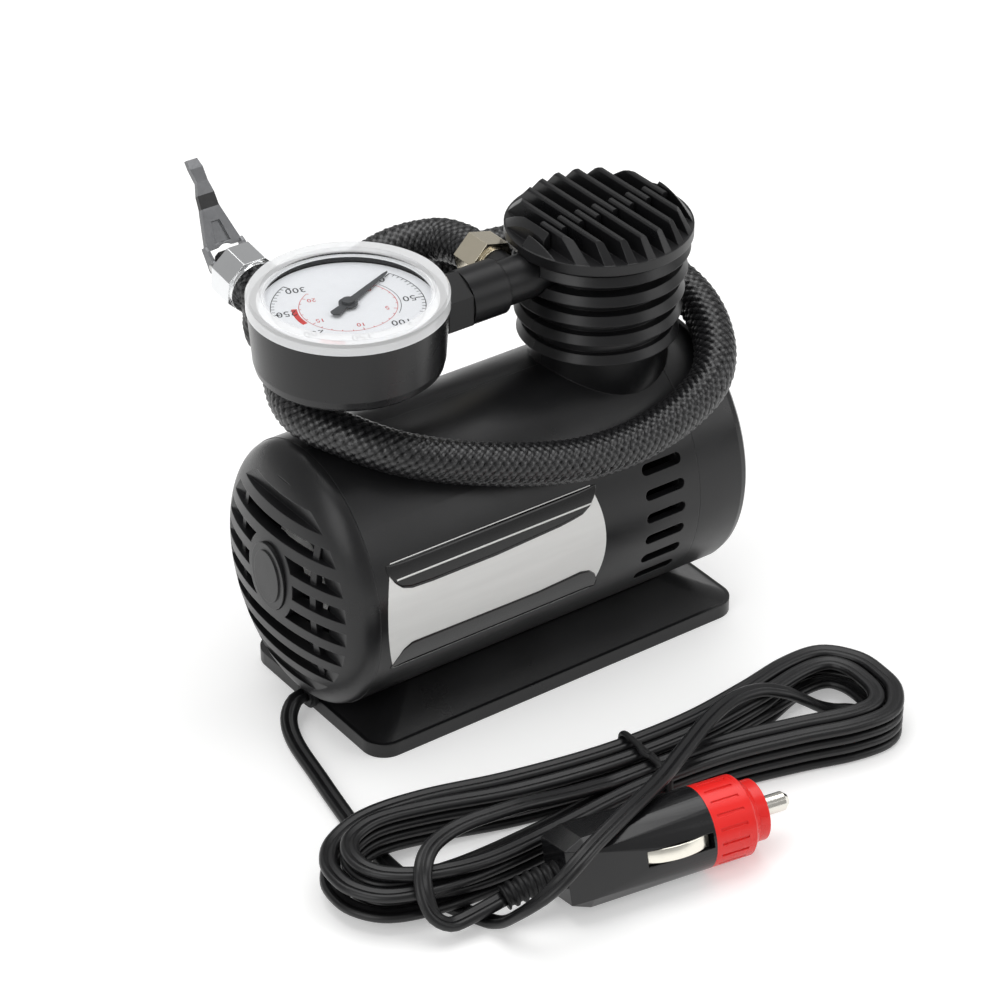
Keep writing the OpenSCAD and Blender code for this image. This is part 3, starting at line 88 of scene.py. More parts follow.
OUTLET_X = 5.2
PIPE_Z = 106.5
NUT_END_Y = 17
CHUCK_AT = (-42, 47.6, 97.85)
CHUCK_TILT = math.radians(8)
HOSE_ROUTE = [
    (OUTLET_X, NUT_END_Y, PIPE_Z), (OUTLET_X, 23, 106.3), (2.4, 31, 105.2), (-8, 36, 103.2),
    (-22, 36, 99.3), (-35, 33, 94.8), (-46, 27.2, 90), (-53, 17, 86.8), (-55.5, 5, 85.2),
    (-51, -8, 84.2), (-43, -17, 81.2), (-33, -22.5, 78), (-22, -26.5, 75), (-10, -29.5, 72),
    (3, -31.5, 69.6), (17, -32, 68.8), (30, -31.2, 69.8), (41.5, -29, 72), (49.5, -26, 75),
    (55.5, -20, 78.5), (59.6, -11, 82.5), (61, -1, 85.5), (59.3, 10, 88), (54, 21, 90), (45, 30, 91.5),
    (32, 36, 92), (18, 39, 91.5), (4, 40.5, 90.2), (-10, 41, 87.8), (-23, 41.3, 85.2), (-34, 41.5, 83.8),
    (-41, 41.3, 85.2), (-43.6, 41.3, 89.3), (-43.1, 42.4, 93.7), (-42.4, 44.8, 96.9), CHUCK_AT,
]
HOSE_STEP = 0.34
HOSE_AROUND = 56
# Height of a strand where it dives under the next one, as a share of its crown.
STRAND_DIVE = 0.45
LEVER_PIVOT = (-42, 59.612, 100.043)
LEVER_LEAN = math.radians(37.4)
# The painted band's two ends, along the lever from its pivot.
LEVER_BAND = (15.1, 18.7)

# ---------- cord, hank and tie ----------

CORD_W = 4.6
CORD_T = 2.4
CORD_STEP = 1.5
# The groove's bottom, from the middle of the twin cord.
TWIN_GROOVE = 0.12
GLAND = (-61.5, 0, 5.2)
CORD_ROUTE = [
    GLAND, (-65, -0.4, 4.7), (-69, -4, 2.6), (-72, -12, 1.3), (-75, -27, 1.3), (-77.5, -40, 1.3),
    (-79.5, -52, 1.3), (-80.5, -62, 1.3), (-80.5, -72, 1.3), (-79.2, -80.5, 1.3), (-77.5, -87.8, 1.3),
    (-75.4, -93, 1.35), (-74, -96.8, 1.5), (-73, -100.4, 2.3), (-72.3, -104, 4.6), (-71.2, -107.4, 8.2),
    (-69.6, -110.4, 11.8), (-66.9, -112.9, 15.6), (-62.9, -114.1, 19.3), (-57.4, -113.4, 22.1),
    (-50.2, -110.9, 23.2), (-38.7, -106.6, 23.4), (-24, -100, 21.8), (-9, -91, 19.2), (6, -82.5, 17.4),
    (18, -77.6, 15.8), (27.5, -76.8, 14.2), (34, -78.8, 12), (39.2, -80.2, 8.4), (44, -81, 4.6),
    (48.8, -82.2, 2), (52.6, -84.2, 1.4), (54, -87.6, 1.4), (52.6, -91.1, 1.4), (49.2, -92.9, 1.4),
    (44, -93, 1.4), (38.6, -91.9, 1.4),
]
# The tail runs on a smoother curve here than in the CAD source.
TAIL_ROUTE = [
    (-28, -81.5, 11.1), (-36, -82, 12.9), (-44, -82.4, 15), (-52, -82.2, 16.6), (-60, -81.8, 17.3),
    (-67, -81.4, 17.6), (-74, -82, 17.6), (-80.5, -84.4, 17.4), (-85, -88.2, 16), (-87.2, -92, 12),
    (-86.8, -95.2, 7.2), (-83.8, -97.2, 4.6), (-79.8, -97.6, 4.4),
]
HANK_MID = (-19.2, -78.6)
HANK_TURN = math.radians(-4.2)
HANK_HALF_L = 75.4
# The openings of the loop's left and right eye: loop_xy adds a share of them to the waist's half width.
HANK_OPEN = (17.5, 34)
HANK_WAIST = 2.9
# The cosine of the waist's angle.
HANK_WAIST_AT = 0.11
# How much blunter than an ellipse the loop's ends are.
HANK_BLUNT = 0.35
# First and last place on the hank, in loops, and its number of points.
HANK_SPAN = (1 / 6, 6.25)
HANK_POINTS = 147
# Place in loops, column and row of each move to the next lane.
LANE_MOVES = [
    (0.82, 1, 0), (1.58, 1, 1), (2.32, 0, 1), (3.08, 0, 2), (3.82, 1, 2), (4.58, 1, 3), (5.32, 0, 3),
]
LANE_MOVE_L = 0.12
COLUMN_STEP = CORD_W + 0.55
ROW_STEP = CORD_T + 0.6
HANK_FOOT_Z = CORD_T / 2 + 0.15
# At its left end the hank lies over the tail: its lift, where that starts and the length it takes.
LIFT_H = CORD_T + 0.7
LIFT_X = -35
LIFT_L = 24

# In the hank's own frame: the hoop lies at one x, and the two ends lie loose on top.
TIE_X = 8
TIE_HOOP = [
    (-2, 12.9), (-7, 12.9), (-10.4, 12.1), (-11.1, 9), (-11.1, 4), (-10.6, 0.9), (-7, 0.12), (0, 0.12),
    (7, 0.12), (10.6, 0.9), (11.1, 4), (11.1, 9), (10.4, 12.1), (7, 12.9), (1, 12.9), (-1.5, 12.95),
]
TIE_ROUTES = {
    "wire_tie": [(TIE_X, y, z) for y, z in TIE_HOOP],
    "tie_end_1": [(TIE_X, 0.5, 12.9), (8.6, -2.4, 12.7), (8.2, -5.2, 12.8), (7.4, -7.4, 12.6)],
    "tie_end_2": [(TIE_X, -2.5, 12.9), (7.4, -0.4, 12.7), (7.8, 2.2, 12.8), (8.6, 4.4, 12.6)],
}
TIE_HALF_W = 0.95
# Half thickness of the tie under the hank and the gain above it, which comes between two heights.
TIE_FLAT = 0.1
TIE_GAIN = 0.6
TIE_RISE = (0.3, 1.9)

# ---------- plug ----------

PLUG_R = 10.4
PLUG_AT = (-17.7, -108.1, PLUG_R + 0.05)
PLUG_TURN = math.radians(-9.5)
PLUG_ROLL = math.radians(-18)
GRIP_L = 38.4
# The boot's middle behind the grip, as (x, z), and the slope at which the cord leaves it.
BOOT_ROUTE = [(0, -1.5), (-4, -1.5), (-8, -1.8), (-11, -2.4), (-14, -3.2)]
BOOT_SLOPE = 0.27
BOOT_R = 3.65
BOOT_TAPER = 0.75
BOOT_RIBS = 6
BOOT_RIB_H = 0.35
# The ribs are a cosine times this, cut off at 1 and -1: flat crests and grooves with steep flanks.
BOOT_RIB_FLANK = 1.6
# A side contact's bow, as (x, distance from the plug's axis), and its section, as (across, out).
CONTACT_BOW = [(-18, 8.5), (-15.2, 9.7), (-12, 10.55), (-9.6, 10.75), (-7.2, 10.55), (-4, 9.7), (-1.5, 8.5)]
CONTACT_SECTION = [(-1.8, -0.25), (-1.8, 0.05), (-1.6, 0.25), (1.6, 0.25), (1.8, 0.05), (1.8, -0.25)]
CONTACT_BEVEL = 0.12
# Where the fuse's caps begin, from its middle.
FUSE_CAP_AT = 8

# ---------- gauge print and side label ----------

# The scales' zero and sweep, in degrees, and the direction in which the dial's print stands upright.
SCALE_FROM = 24.0
SCALE_SWEEP = -270.0
DIAL_UP = math.radians(-111)
# Height of the print and the step between its layers.
INK_Z = DIAL_Z + 0.03
INK_STEP = 0.01
# Each scale: the ticks' outer radius, the radii of the line that they stand on, and the inner radius and
# width of every tenth, fifth and single tick.
OUTER_R = 19.0
OUTER_LINE = (18.95, 19.15)
OUTER_TICKS = {10: (17.0, 0.34), 5: (17.7, 0.2), 1: (18.1, 0.2)}
INNER_R = 12.1
INNER_LINE = (12.05, 12.2)
INNER_TICKS = {5: (11.2, 0.2), 1: (11.6, 0.2)}
# Radii and end angles of the short black arc and of the red zones.
SHORT_ARC = (12.9, 13.05, 20, -50)
ZONES = [(12.6, 14.0, 185, 151), (16.9, 18.7, 214, 234)]
# Strokes of the digits in a box of width and height 1.
DIGITS = {
    "0": [(0.5, 1), (0.15, 0.85), (0, 0.5), (0.15, 0.15), (0.5, 0), (0.85, 0.15), (1, 0.5), (0.85, 0.85),
          (0.5, 1)],
    "1": [(0.2, 0.8), (0.55, 1), (0.55, 0)],
    "2": [(0.05, 0.78), (0.25, 0.97), (0.6, 1), (0.9, 0.82), (0.85, 0.58), (0, 0), (1, 0)],
    "3": [(0.05, 0.9), (0.5, 1), (0.88, 0.8), (0.8, 0.6), (0.4, 0.54), (0.85, 0.44), (0.95, 0.2), (0.5, 0),
          (0, 0.1)],
    "5": [(0.9, 1), (0.15, 1), (0.1, 0.56), (0.6, 0.62), (0.95, 0.4), (0.9, 0.15), (0.5, 0), (0, 0.1)],
}
# Width of a digit and the step to the next, as shares of its height.
DIGIT_W = 0.52
DIGIT_STEP = 0.78

# The label's silver field ends at two lines in (x, z). A dark band runs from each to the label's edge.
UPPER_BAND = [
    (-55.0, 57.2), (-54.3, 55.7), (-53.2, 53.8), (-51.3, 52.0), (-48.6, 51.1), (-42.3, 50.8), (-23.0, 50.8),
    (-3.1, 51.6), (1.0, 52.0), (4.4, 52.5), (7.0, 53.9), (8.8, 56.0), (9.9, 57.6),
]
LOWER_BAND = [
    (-54.4, 28.2), (-53.1, 30.6), (-51.4, 33.6), (-49.0, 35.1), (-45.2, 35.1), (-23.0, 34.8), (-9.8, 34.7),
    (0.9, 35.4), (3.5, 35.6), (6.4, 34.8), (8.5, 32.8), (9.9, 29.6),
]
LABEL_TOP = 58.62
LABEL_FOOT = 27.58
BAND_INSET = 0.05
BAND_LIFT = 0.13
BAND_T = 0.04
# The thin silver line on the upper band: its ends, its edges and its lift off the shell.
LINE_X = (-52.6, 7.6)
LINE_Z = (54.15, 54.6)
LINE_LIFT = 0.16

# ---------- stage ----------

# The camera's place is in metres, and its sensor and the floor are in millimetres.
CAMERA_AT = (-0.4562, -0.6357, 0.5475)
SENSOR_W = 36
FLOOR_HALF = 4000
FLOOR_Z = -0.05
FLOOR_GLOW = 0.33


# ---------- settings a user may change ----------


class FinishSettings(bpy.types.PropertyGroup):
    """Colours of the finishes."""

    plastic: FloatVectorProperty(
        name="Housing plastic", description="Colour of the moulded shells", subtype="COLOR",
        default=(0.0078, 0.0078, 0.0085), min=0, max=1,
    )
    rubber: FloatVectorProperty(
        name="Cord rubber", description="Colour of the cord's jacket", subtype="COLOR",
        default=(0.0055, 0.0055, 0.006), min=0, max=1,
    )
    collar: FloatVectorProperty(
        name="Plug collar", description="Colour of the collar that holds the plug's tip", subtype="COLOR",
        default=(0.80, 0.013, 0.010), min=0, max=1,
    )
    brass: FloatVectorProperty(
        name="Plated brass", description="Colour of the hose nut", subtype="COLOR",
        default=(0.80, 0.73, 0.58), min=0, max=1,
    )
    label: FloatVectorProperty(
        name="Label silver", description="Colour of the label's bare field", subtype="COLOR",
        default=(0.93, 0.93, 0.91), min=0, max=1,
    )
    dial: FloatVectorProperty(
        name="Dial", description="Colour of the gauge dial", subtype="COLOR",
        default=(0.86, 0.86, 0.87), min=0, max=1,
    )


class LineSettings(bpy.types.PropertyGroup):
    """Sizes of the hose and its braid."""

    hose_d: FloatProperty(
        name="Hose diameter", description="Over the braid, in millimetres", default=11.4, min=8, max=12,
    )
    braid_pitch: FloatProperty(
        name="Braid pitch", description="Advance of one strand per turn, in millimetres", default=27,
        min=10, max=60,
    )
    braid_strands: IntProperty(
        name="Braid strands", description="Strands in each direction", default=12, min=8, max=24,
    )
    braid_relief: FloatProperty(
        name="Braid relief", description="Height of a strand over its crossings, in millimetres",
        default=0.6, min=0, max=1,
    )


class StageSettings(bpy.types.PropertyGroup):
    """Lamps and camera."""

    azimuth: FloatProperty(
        name="Azimuth", description="Camera's angle round the object", default=math.radians(-35.72),
        subtype="ANGLE",
    )
    elevation: FloatProperty(
        name="Elevation", description="Camera's height over the horizon", default=math.radians(32.861),
        subtype="ANGLE",
    )
    lens: FloatProperty(name="Lens", description="Focal length in millimetres", default=127.94, min=20)
    key: FloatProperty(name="Key lamp", description="Power of the overhead softbox", default=10.0, min=0)
    fill: FloatProperty(name="Fill lamps", description="Power of the side softboxes", default=5.0, min=0)
    sky: FloatProperty(name="Room light", description="Strength of the world", default=0.42, min=0)


# ---------- curves and grids ----------


def unit(v):
    """v over its length, for one vector or rows of them."""
    v = np.asarray(v, float)
    return v / np.maximum(np.linalg.norm(v, axis=-1, keepdims=True), 1e-12)


def ease(t):
    """0 below 0, 1 above 1, and 3t^2 - 2t^3 between."""
    t = np.clip(t, 0, 1)
    return t * t * (3 - 2 * t)


def spline(route, n):
    """Catmull-Rom curve through the route, n steps to each stretch: the cubic whose slope at a point is
    half the way from the point before it to the point after it."""
    p = np.array(route, float)
    before, start, end, after = p[np.r_[0, 0:len(p) - 2]], p[:-1], p[1:], p[np.r_[2:len(p), len(p) - 1]]
    t = (np.arange(n) / n)[None, :, None]
    a, b, d, e = (q[:, None] for q in (before, start, end, after))
    line = 0.5 * (2 * b + (d - a) * t + (2 * a - 5 * b + 4 * d - e) * t**2 + (3 * b - a - 3 * d + e) * t**3)
    return np.concatenate([line.reshape(-1, 3), p[-1:]])


def along(line):
    """Distance from the first point to each point of a line."""
    return np.r_[0, np.cumsum(np.linalg.norm(np.diff(line, axis=0), axis=1))]


def resample(line, step):
    """The line again with points one step apart, by distance along it."""
    s = along(line)
    at = np.linspace(0, s[-1], max(2, int(round(s[-1] / step)) + 1))
    return np.stack([np.interp(at, s, line[:, k]) for k in range(3)], axis=1)


def headings(line):
    """Direction of the line at each point."""
    return unit(np.gradient(line, axis=0))


def sides(line, start=None, end=None):
    """Level side and upward normal at each point: side = heading x up, normal = side x heading. start and
    end are the headings at the line's two ends, where they are known."""
    t = headings(line)
    if start is not None:
        t[0] = unit(start)
    if end is not None:
        t[-1] = unit(end)
    side = unit(np.cross(t, UP))
    return side, np.cross(side, t)


def circle(n):
    """n angles round a circle, as one row."""
    return np.linspace(0, 2 * np.pi, n, endpoint=False)[None]


def sweep(line, side, normal, x, y):
    """A section carried along a line: point (i, j) is line i + x (i, j) side i + y (i, j) normal i."""
    return line[:, None] + side[:, None] * x[..., None] + normal[:, None] * y[..., None]


def outward(mesh):
    """Merges doubles and turns every face of a closed mesh outwards."""
    bm = bmesh.new()
    bm.from_mesh(mesh)
    bmesh.ops.remove_doubles(bm, verts=bm.verts, dist=1e-7)
    bmesh.ops.recalc_face_normals(bm, faces=bm.faces)
    bm.to_mesh(mesh)
    bm.free()


def add_piece(name, verts, faces, finish_name):
    """A piece from its vertices in mm and its faces."""
    mesh = bpy.data.meshes.new(name)
    mesh.from_pydata((verts * MM).tolist(), [], faces)
    mesh.update()
    mesh.materials.append(FINISHES[finish_name])
    piece = bpy.data.objects.new(name, mesh)
    bpy.context.scene.collection.objects.link(piece)
    return piece


def grid_piece(name, points, finish_name, tube=False, caps=False):
    """A smooth piece from points[i, j] in mm: face (i, j) joins rows i, i + 1 and columns j, j + 1. On a
    tube the last column joins the first, and caps close its two end rows with a fan about their middle."""
    n, m = points.shape[:2]
    i, j = np.meshgrid(np.arange(n - 1), np.arange(m if tube else m - 1), indexing="ij")
    low, high, j2 = i * m, (i + 1) * m, (j + 1) % m
    quads = np.stack([low + j, high + j, high + j2, low + j2], axis=-1)
    verts, faces = points.reshape(-1, 3), quads.reshape(-1, 4).tolist()
    if caps:
        verts = np.vstack([verts, points[0].mean(0), points[-1].mean(0)])
        k = np.arange(m)
        k2 = (k + 1) % m
        last = (n - 1) * m
        faces += np.stack([np.full(m, n * m), k, k2], axis=1).tolist()
        faces += np.stack([np.full(m, n * m + 1), last + k2, last + k], axis=1).tolist()
    piece = add_piece(name, verts, faces, finish_name)
    if caps:
        outward(piece.data)
    piece.data.shade_smooth()
    return piece


def attribute(piece, name, values):
    """Stores one number per vertex on the piece."""
    layer = piece.data.attributes.new(name, "FLOAT", "POINT")
    layer.data.foreach_set("value", np.asarray(values, np.float32).ravel())


def soften_edges(piece, width):
    """A live bevel of that width in mm on the piece's sharp edges."""
    bevel = piece.modifiers.new("soft edges", "BEVEL")
    bevel.width, bevel.segments = width * MM, 2
    bevel.limit_method, bevel.angle_limit = "ANGLE", math.radians(35)
    bevel.harden_normals = False


def side_y(z):
    """Half width of the oval shell at height z: the side arc between the joins, the end arcs beyond."""
    d = np.abs(z - BODY_MID_Z)
    side = np.sqrt(np.maximum(SIDE_ARC**2 - d**2, 0)) - SIDE_OFF
    end = np.sqrt(np.maximum(END_ARC**2 - (d - END_OFF) ** 2, 0))
    return np.where(d <= ARC_JOIN, side, end)


def on_plug(points, roll=PLUG_ROLL):
    """Points from the plug's own frame, whose x axis runs to its tip, to the object's."""
    p = np.asarray(points, float)
    c, s = math.cos(roll), math.sin(roll)
    y, z = p[..., 1] * c - p[..., 2] * s, p[..., 1] * s + p[..., 2] * c
    c, s = math.cos(PLUG_TURN), math.sin(PLUG_TURN)
    return np.stack([p[..., 0] * c - y * s, p[..., 0] * s + y * c, z], axis=-1) + np.array(PLUG_AT)


def on_hank(points):
    """Points from the hank's own frame, whose x axis runs along it, to the object's."""
    p = np.asarray(points, float)
    c, s = math.cos(HANK_TURN), math.sin(HANK_TURN)
    x = HANK_MID[0] + p[..., 0] * c - p[..., 1] * s
    y = HANK_MID[1] + p[..., 0] * s + p[..., 1] * c
    return np.stack([x, y, p[..., 2]], axis=-1)


# ---------- finishes ----------


def shade(colour, by, plus=0.0):
    """The colour times by, plus plus."""
    return tuple(c * by + plus for c in colour)


def capped(colour):
    """The colour held at 1."""
    return tuple(min(1, c) for c in colour)


class Nodes:
    """A material's node tree, with short calls for the nodes that the finishes share."""

    def __init__(self, name):
        material = bpy.data.materials.new(name)
        material.use_nodes = True
        FINISHES[name] = material
        self.tree = material.node_tree
        self.shader = self.tree.nodes["Principled BSDF"]

    def add(self, kind, inputs=None, **settings):
        """A node of that kind, with its settings and its inputs given as values or as sockets."""
        node = self.tree.nodes.new("ShaderNode" + kind)
        for key, value in settings.items():
            setattr(node, key, value)
        for key, value in (inputs or {}).items():
            if isinstance(value, bpy.types.NodeSocket):
                self.tree.links.new(value, node.inputs[key])
            else:
                node.inputs[key].default_value = value
        return node

    def fix(self, name, value):
        """Sets an input of the main shader."""
        self.shader.inputs[name].default_value = value

    def link(self, socket, name):
        """Feeds a socket into an input of the main shader."""
        self.tree.links.new(socket, self.shader.inputs[name])

    def surface(self, socket):
        """Makes a shader the material's surface."""
        self.tree.links.new(socket, self.tree.nodes["Material Output"].inputs["Surface"])

    def place(self):
        """The object's own coordinates, in metres."""
        return self.add("TexCoord").outputs["Object"]

    def far(self, axis):
        """Distance along an axis from the origin, in metres."""
        dot = self.add("VectorMath", {0: self.place(), 1: tuple(axis)}, operation="DOT_PRODUCT")
        return dot.outputs["Value"]

    def noise(self, scale, detail=3.0, rough=0.5, vector=None):
        """Cloudy noise on the object's coordinates, or on the vector."""
        return self.add("TexNoise", {"Vector": vector or self.place(), "Scale": scale, "Detail": detail,
                                     "Roughness": rough}).outputs["Fac"]

    def span(self, value, low, high, to_low, to_high):
        """value carried from low..high to to_low..to_high and held at the ends."""
        return self.add("MapRange", {"Value": value, "From Min": low, "From Max": high, "To Min": to_low,
                                     "To Max": to_high}).outputs["Result"]

    def math(self, how, a, b=0.0, clamp=False):
        """One operation on two values, held to 0 to 1 if clamped."""
        return self.add("Math", {0: a, 1: b}, operation=how, use_clamp=clamp).outputs[0]

    def times(self, a, b, clamp=False):
        """The product of two values."""
        return self.math("MULTIPLY", a, b, clamp)

    def within(self, value, low, high):
        """1 where the value lies between low and high, 0 elsewhere."""
        return self.times(self.math("GREATER_THAN", value, low), self.math("LESS_THAN", value, high))

    def blend(self, share, a, b):
        """Colour a at share 0 and b at share 1."""
        node = self.add("Mix", {"Factor": share}, data_type="RGBA")
        for socket, colour in ((node.inputs[6], a), (node.inputs[7], b)):
            if isinstance(colour, bpy.types.NodeSocket):
                self.tree.links.new(colour, socket)
            else:
                socket.default_value = (*colour, 1)
        return node.outputs[2]

    def mix(self, share, a, b):
        """Shader a at share 0 and b at share 1."""
        return self.add("MixShader", {0: share, 1: a, 2: b}).outputs[0]

    def rounded(self, radius):
        """The normal with the edges rounded to that radius in mm."""
        return self.add("Bevel", {"Radius": radius * MM}, samples=4).outputs["Normal"]

    def edges(self, radius):
        """1 on the edges and corners and 0 on the flats: how far the rounded normal turns."""
        flat = self.add("NewGeometry").outputs["Normal"]
        dot = self.add("VectorMath", {0: self.rounded(radius), 1: flat}, operation="DOT_PRODUCT")
        return self.span(dot.outputs["Value"], 1.0, 0.93, 0.0, 1.0)

    def bump(self, height, depth, normal=None):
        """The normal over a height of 0 to 1, that many mm deep."""
        inputs = {"Height": height, "Distance": depth * MM, "Strength": 1.0}
        if normal is not None:
            inputs["Normal"] = normal
        return self.add("Bump", inputs).outputs["Normal"]


def moulded(name, colour, rough, grain=(2400, 0.02), mottle=0.09, edge=0.35, lift=0.35, specular=0.3,
            dust=0.25):
    """Moulded plastic: a fine grain over a faint mottle, scuffed edges a little paler, and a trace of dust.
    grain is its scale and its depth in mm, mottle the drift of the roughness, edge the edges' radius in mm,
    and lift how much paler they are."""
    n = Nodes(name)
    n.fix("Specular IOR Level", specular)
    cloud = n.noise(38, 4, 0.6)
    speck = n.span(n.noise(900, 2), 0.68, 0.8, 0.0, dust)
    worn = n.times(n.edges(edge * 1.6), n.span(n.noise(240, 4, 0.7), 0.35, 0.7, 0.1, 1.0))
    pale = capped(shade(colour, 1 + lift, 0.012 * lift))
    tone = n.blend(n.span(cloud, 0.3, 0.75, 0.0, 0.55), colour, shade(colour, 1.35, 0.001))
    tone = n.blend(n.times(worn, 0.8), tone, pale)
    n.link(n.blend(n.times(speck, 0.3), tone, (0.09, 0.088, 0.083)), "Base Color")
    gloss = n.span(cloud, 0.3, 0.7, rough - mottle, rough + mottle)
    n.link(n.math("ADD", gloss, n.times(speck, 0.3)), "Roughness")
    n.link(n.bump(n.noise(grain[0], 4, 0.6), grain[1], n.rounded(edge)), "Normal")


def metal(name, colour, rough, grain=(900, 0.015), edge=0.25, stain=0.3):
    """Bare or plated metal: its colour and gloss drift with stains, and its edges are rubbed bright."""
    n = Nodes(name)
    n.fix("Metallic", 1.0)
    cloud, fine = n.noise(130, 4, 0.65), n.noise(grain[0], 4, 0.6)
    tone = n.blend(n.span(cloud, 0.4, 0.75, 0.0, stain), colour, shade(colour, 0.62))
    n.link(n.blend(n.times(n.edges(edge), 0.5), tone, capped(shade(colour, 1.25))), "Base Color")
    drift = n.math("ADD", cloud, n.times(fine, 0.6))
    n.link(n.span(drift, 0.5, 1.1, rough * 0.75, rough * 1.35), "Roughness")
    n.link(n.bump(fine, grain[1], n.rounded(edge)), "Normal")


def print_finish(name, colour, rough, flecks):
    """Ink or paint on a smooth base, with a slight unevenness of tone and gloss."""
    n = Nodes(name)
    cloud = n.noise(300, 4, 0.6)
    n.link(n.blend(n.span(cloud, 0.35, 0.7, 0.0, 1.0), colour, shade(colour, 1 - flecks)), "Base Color")
    n.link(n.span(cloud, 0.3, 0.7, rough * 0.85, rough * 1.15), "Roughness")
    n.link(n.bump(n.noise(1800), 0.006), "Normal")


def foil_finish(name, colour, rough):
    """Printed foil sticker: long, faint streaks of gloss and a slight ripple."""
    n = Nodes(name)
    drawn = n.add("Mapping", {"Vector": n.place(), "Scale": (0.3, 1, 3)}).outputs["Vector"]
    streaks = n.noise(40, 4, 0.6, drawn)
    n.link(n.blend(n.span(streaks, 0.35, 0.7, 0.0, 1.0), colour, shade(colour, 0.9)), "Base Color")
    n.link(n.span(streaks, 0.3, 0.7, rough * 0.8, rough * 1.2), "Roughness")
    n.link(n.bump(n.noise(26, 2), 0.06), "Normal")


def braid_finish(colour):
    """Woven textile cover: strands carry a faint shine. Its colour carries painted shade in the joins between
    the strands and painted light on their crowns.
    """
    n = Nodes("braid")
    height = n.add("Attribute", attribute_name="weave").outputs["Fac"]
    fibre = n.noise(5200, 3, 0.6)
    # Painted shade and light: the colour falls to 0.15 times in the joins, where strands dive under each
    # other, and rises to 1.5 times on the crowns.
    tone = n.blend(n.span(height, 0.2, 0.9, 0.0, 1.0), shade(colour, 0.15), shade(colour, 1.5, 0.004))
    n.link(n.blend(n.span(fibre, 0.45, 0.75, 0.0, 0.5), tone, shade(colour, 2, 0.006)), "Base Color")
    n.link(n.span(fibre, 0.3, 0.7, 0.2, 0.38), "Roughness")
    n.link(n.span(height, 0.1, 0.8, 0.0, 0.75), "Specular IOR Level")
    n.link(n.bump(fibre, 0.03), "Normal")


def jacket_finish(colour):
    """Soft vinyl cord jacket: satin, with a slow mottle along it and faint scuffs."""
    n = Nodes("jacket")
    n.fix("Specular IOR Level", 0.42)
    cloud, scuff = n.noise(70, 3, 0.6), n.noise(700, 4, 0.7)
    tone = n.blend(n.span(cloud, 0.3, 0.75, 0.0, 0.7), colour, shade(colour, 1.7, 0.002))
    n.link(n.blend(n.span(scuff, 0.62, 0.8, 0.0, 0.25), tone, (0.05, 0.05, 0.052)), "Base Color")
    n.link(n.span(n.math("ADD", cloud, n.times(scuff, 0.5)), 0.4, 1.1, 0.27, 0.44), "Roughness")
    n.link(n.bump(n.noise(1500, 3, 0.6), 0.012), "Normal")


def crystal_finish():
    """Clear acrylic seen as a thin window: rays pass straight through it, its surface mirrors at grazing
    angles, and beyond the window's radius a white diffuse layer is painted light, standing in for the light
    that the clear stepped rim refracts and reflects."""
    n = Nodes("crystal")
    centred = n.add("Mapping", {"Vector": n.place(), "Location": (-GAUGE_X * MM, 0, 0), "Scale": (1, 1, 0)})
    far = n.add("VectorMath", {0: centred.outputs["Vector"]}, operation="LENGTH").outputs["Value"]
    window, rim = (r * MM for r in WINDOW_R)
    clear = n.add("BsdfTransparent", {"Color": (0.975, 0.98, 0.985, 1)}).outputs[0]
    # Painted light: a white diffuse layer on the rim stands in for the light that the clear rim refracts and
    # reflects.
    painted_rim_light = n.add("BsdfDiffuse", {"Color": (0.97, 0.975, 0.98, 1)}).outputs[0]
    haze = n.span(n.noise(220, 3, 0.6), 0.4, 0.75, 0.01, 0.05)
    gloss = n.add("BsdfGlossy", {"Color": (1, 1, 1, 1), "Roughness": haze}).outputs[0]
    front = n.math("SUBTRACT", 1.0, n.add("NewGeometry").outputs["Backfacing"])
    glance = n.times(n.add("Fresnel", {"IOR": 1.33}).outputs["Fac"], front)
    body = n.mix(n.span(far, window, rim, 0.0, 0.58), clear, painted_rim_light)
    skin = n.mix(n.times(glance, n.span(far, window, rim, 0.5, 1.0), clamp=True), body, gloss)
    n.surface(n.mix(n.add("LightPath").outputs["Is Shadow Ray"], skin, clear))


def lever_finish():
    """Die-cast metal with one dark painted band: the band lies where the distance along the lever from its
    pivot is in LEVER_BAND."""
    n = Nodes("lever")
    cast, paint, rough = (0.20, 0.203, 0.21), (0.012, 0.012, 0.013), 0.38
    axis = np.array((0, math.sin(LEVER_LEAN), math.cos(LEVER_LEAN)))
    pivot = float(np.array(LEVER_PIVOT) @ axis)
    band = n.within(n.far(axis), *((pivot + d) * MM for d in LEVER_BAND))
    cloud, pit = n.noise(160, 4, 0.6), n.noise(1500, 3, 0.7)
    tone = n.blend(n.span(cloud, 0.35, 0.7, 0.0, 0.5), cast, shade(cast, 0.7))
    tone = n.blend(n.times(n.edges(0.3), 0.5), tone, shade(cast, 1.5))
    n.link(n.blend(band, tone, paint), "Base Color")
    n.link(n.times(n.math("SUBTRACT", 1.0, band), 0.8), "Metallic")
    n.link(n.span(pit, 0.3, 0.7, rough * 0.8, rough * 1.3), "Roughness")
    n.link(n.bump(pit, 0.03, n.rounded(0.3)), "Normal")


def winding_finish():
    """Armature: enamelled copper wire on the fifth at each end, stacked steel sheets between."""
    n = Nodes("armature")
    n.fix("Metallic", 0.9)
    x = n.add("SeparateXYZ", {0: n.place()}).outputs["X"]
    low, high = (corner.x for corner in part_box("armature"))
    trim = (high - low) * 0.2
    core = n.within(x, low + trim, high - trim)
    wave = {"Vector": n.place(), "Scale": 420.0, "Distortion": 1.5, "Detail": 2.0}
    wire = n.add("TexWave", wave).outputs["Fac"]
    copper = n.blend(wire, (0.30, 0.09, 0.03), (0.62, 0.24, 0.10))
    n.link(n.blend(core, copper, n.blend(wire, (0.10, 0.10, 0.11), (0.28, 0.28, 0.29))), "Base Color")
    n.link(n.span(wire, 0, 1, 0.3, 0.5), "Roughness")
    n.link(n.bump(wire, 0.08), "Normal")


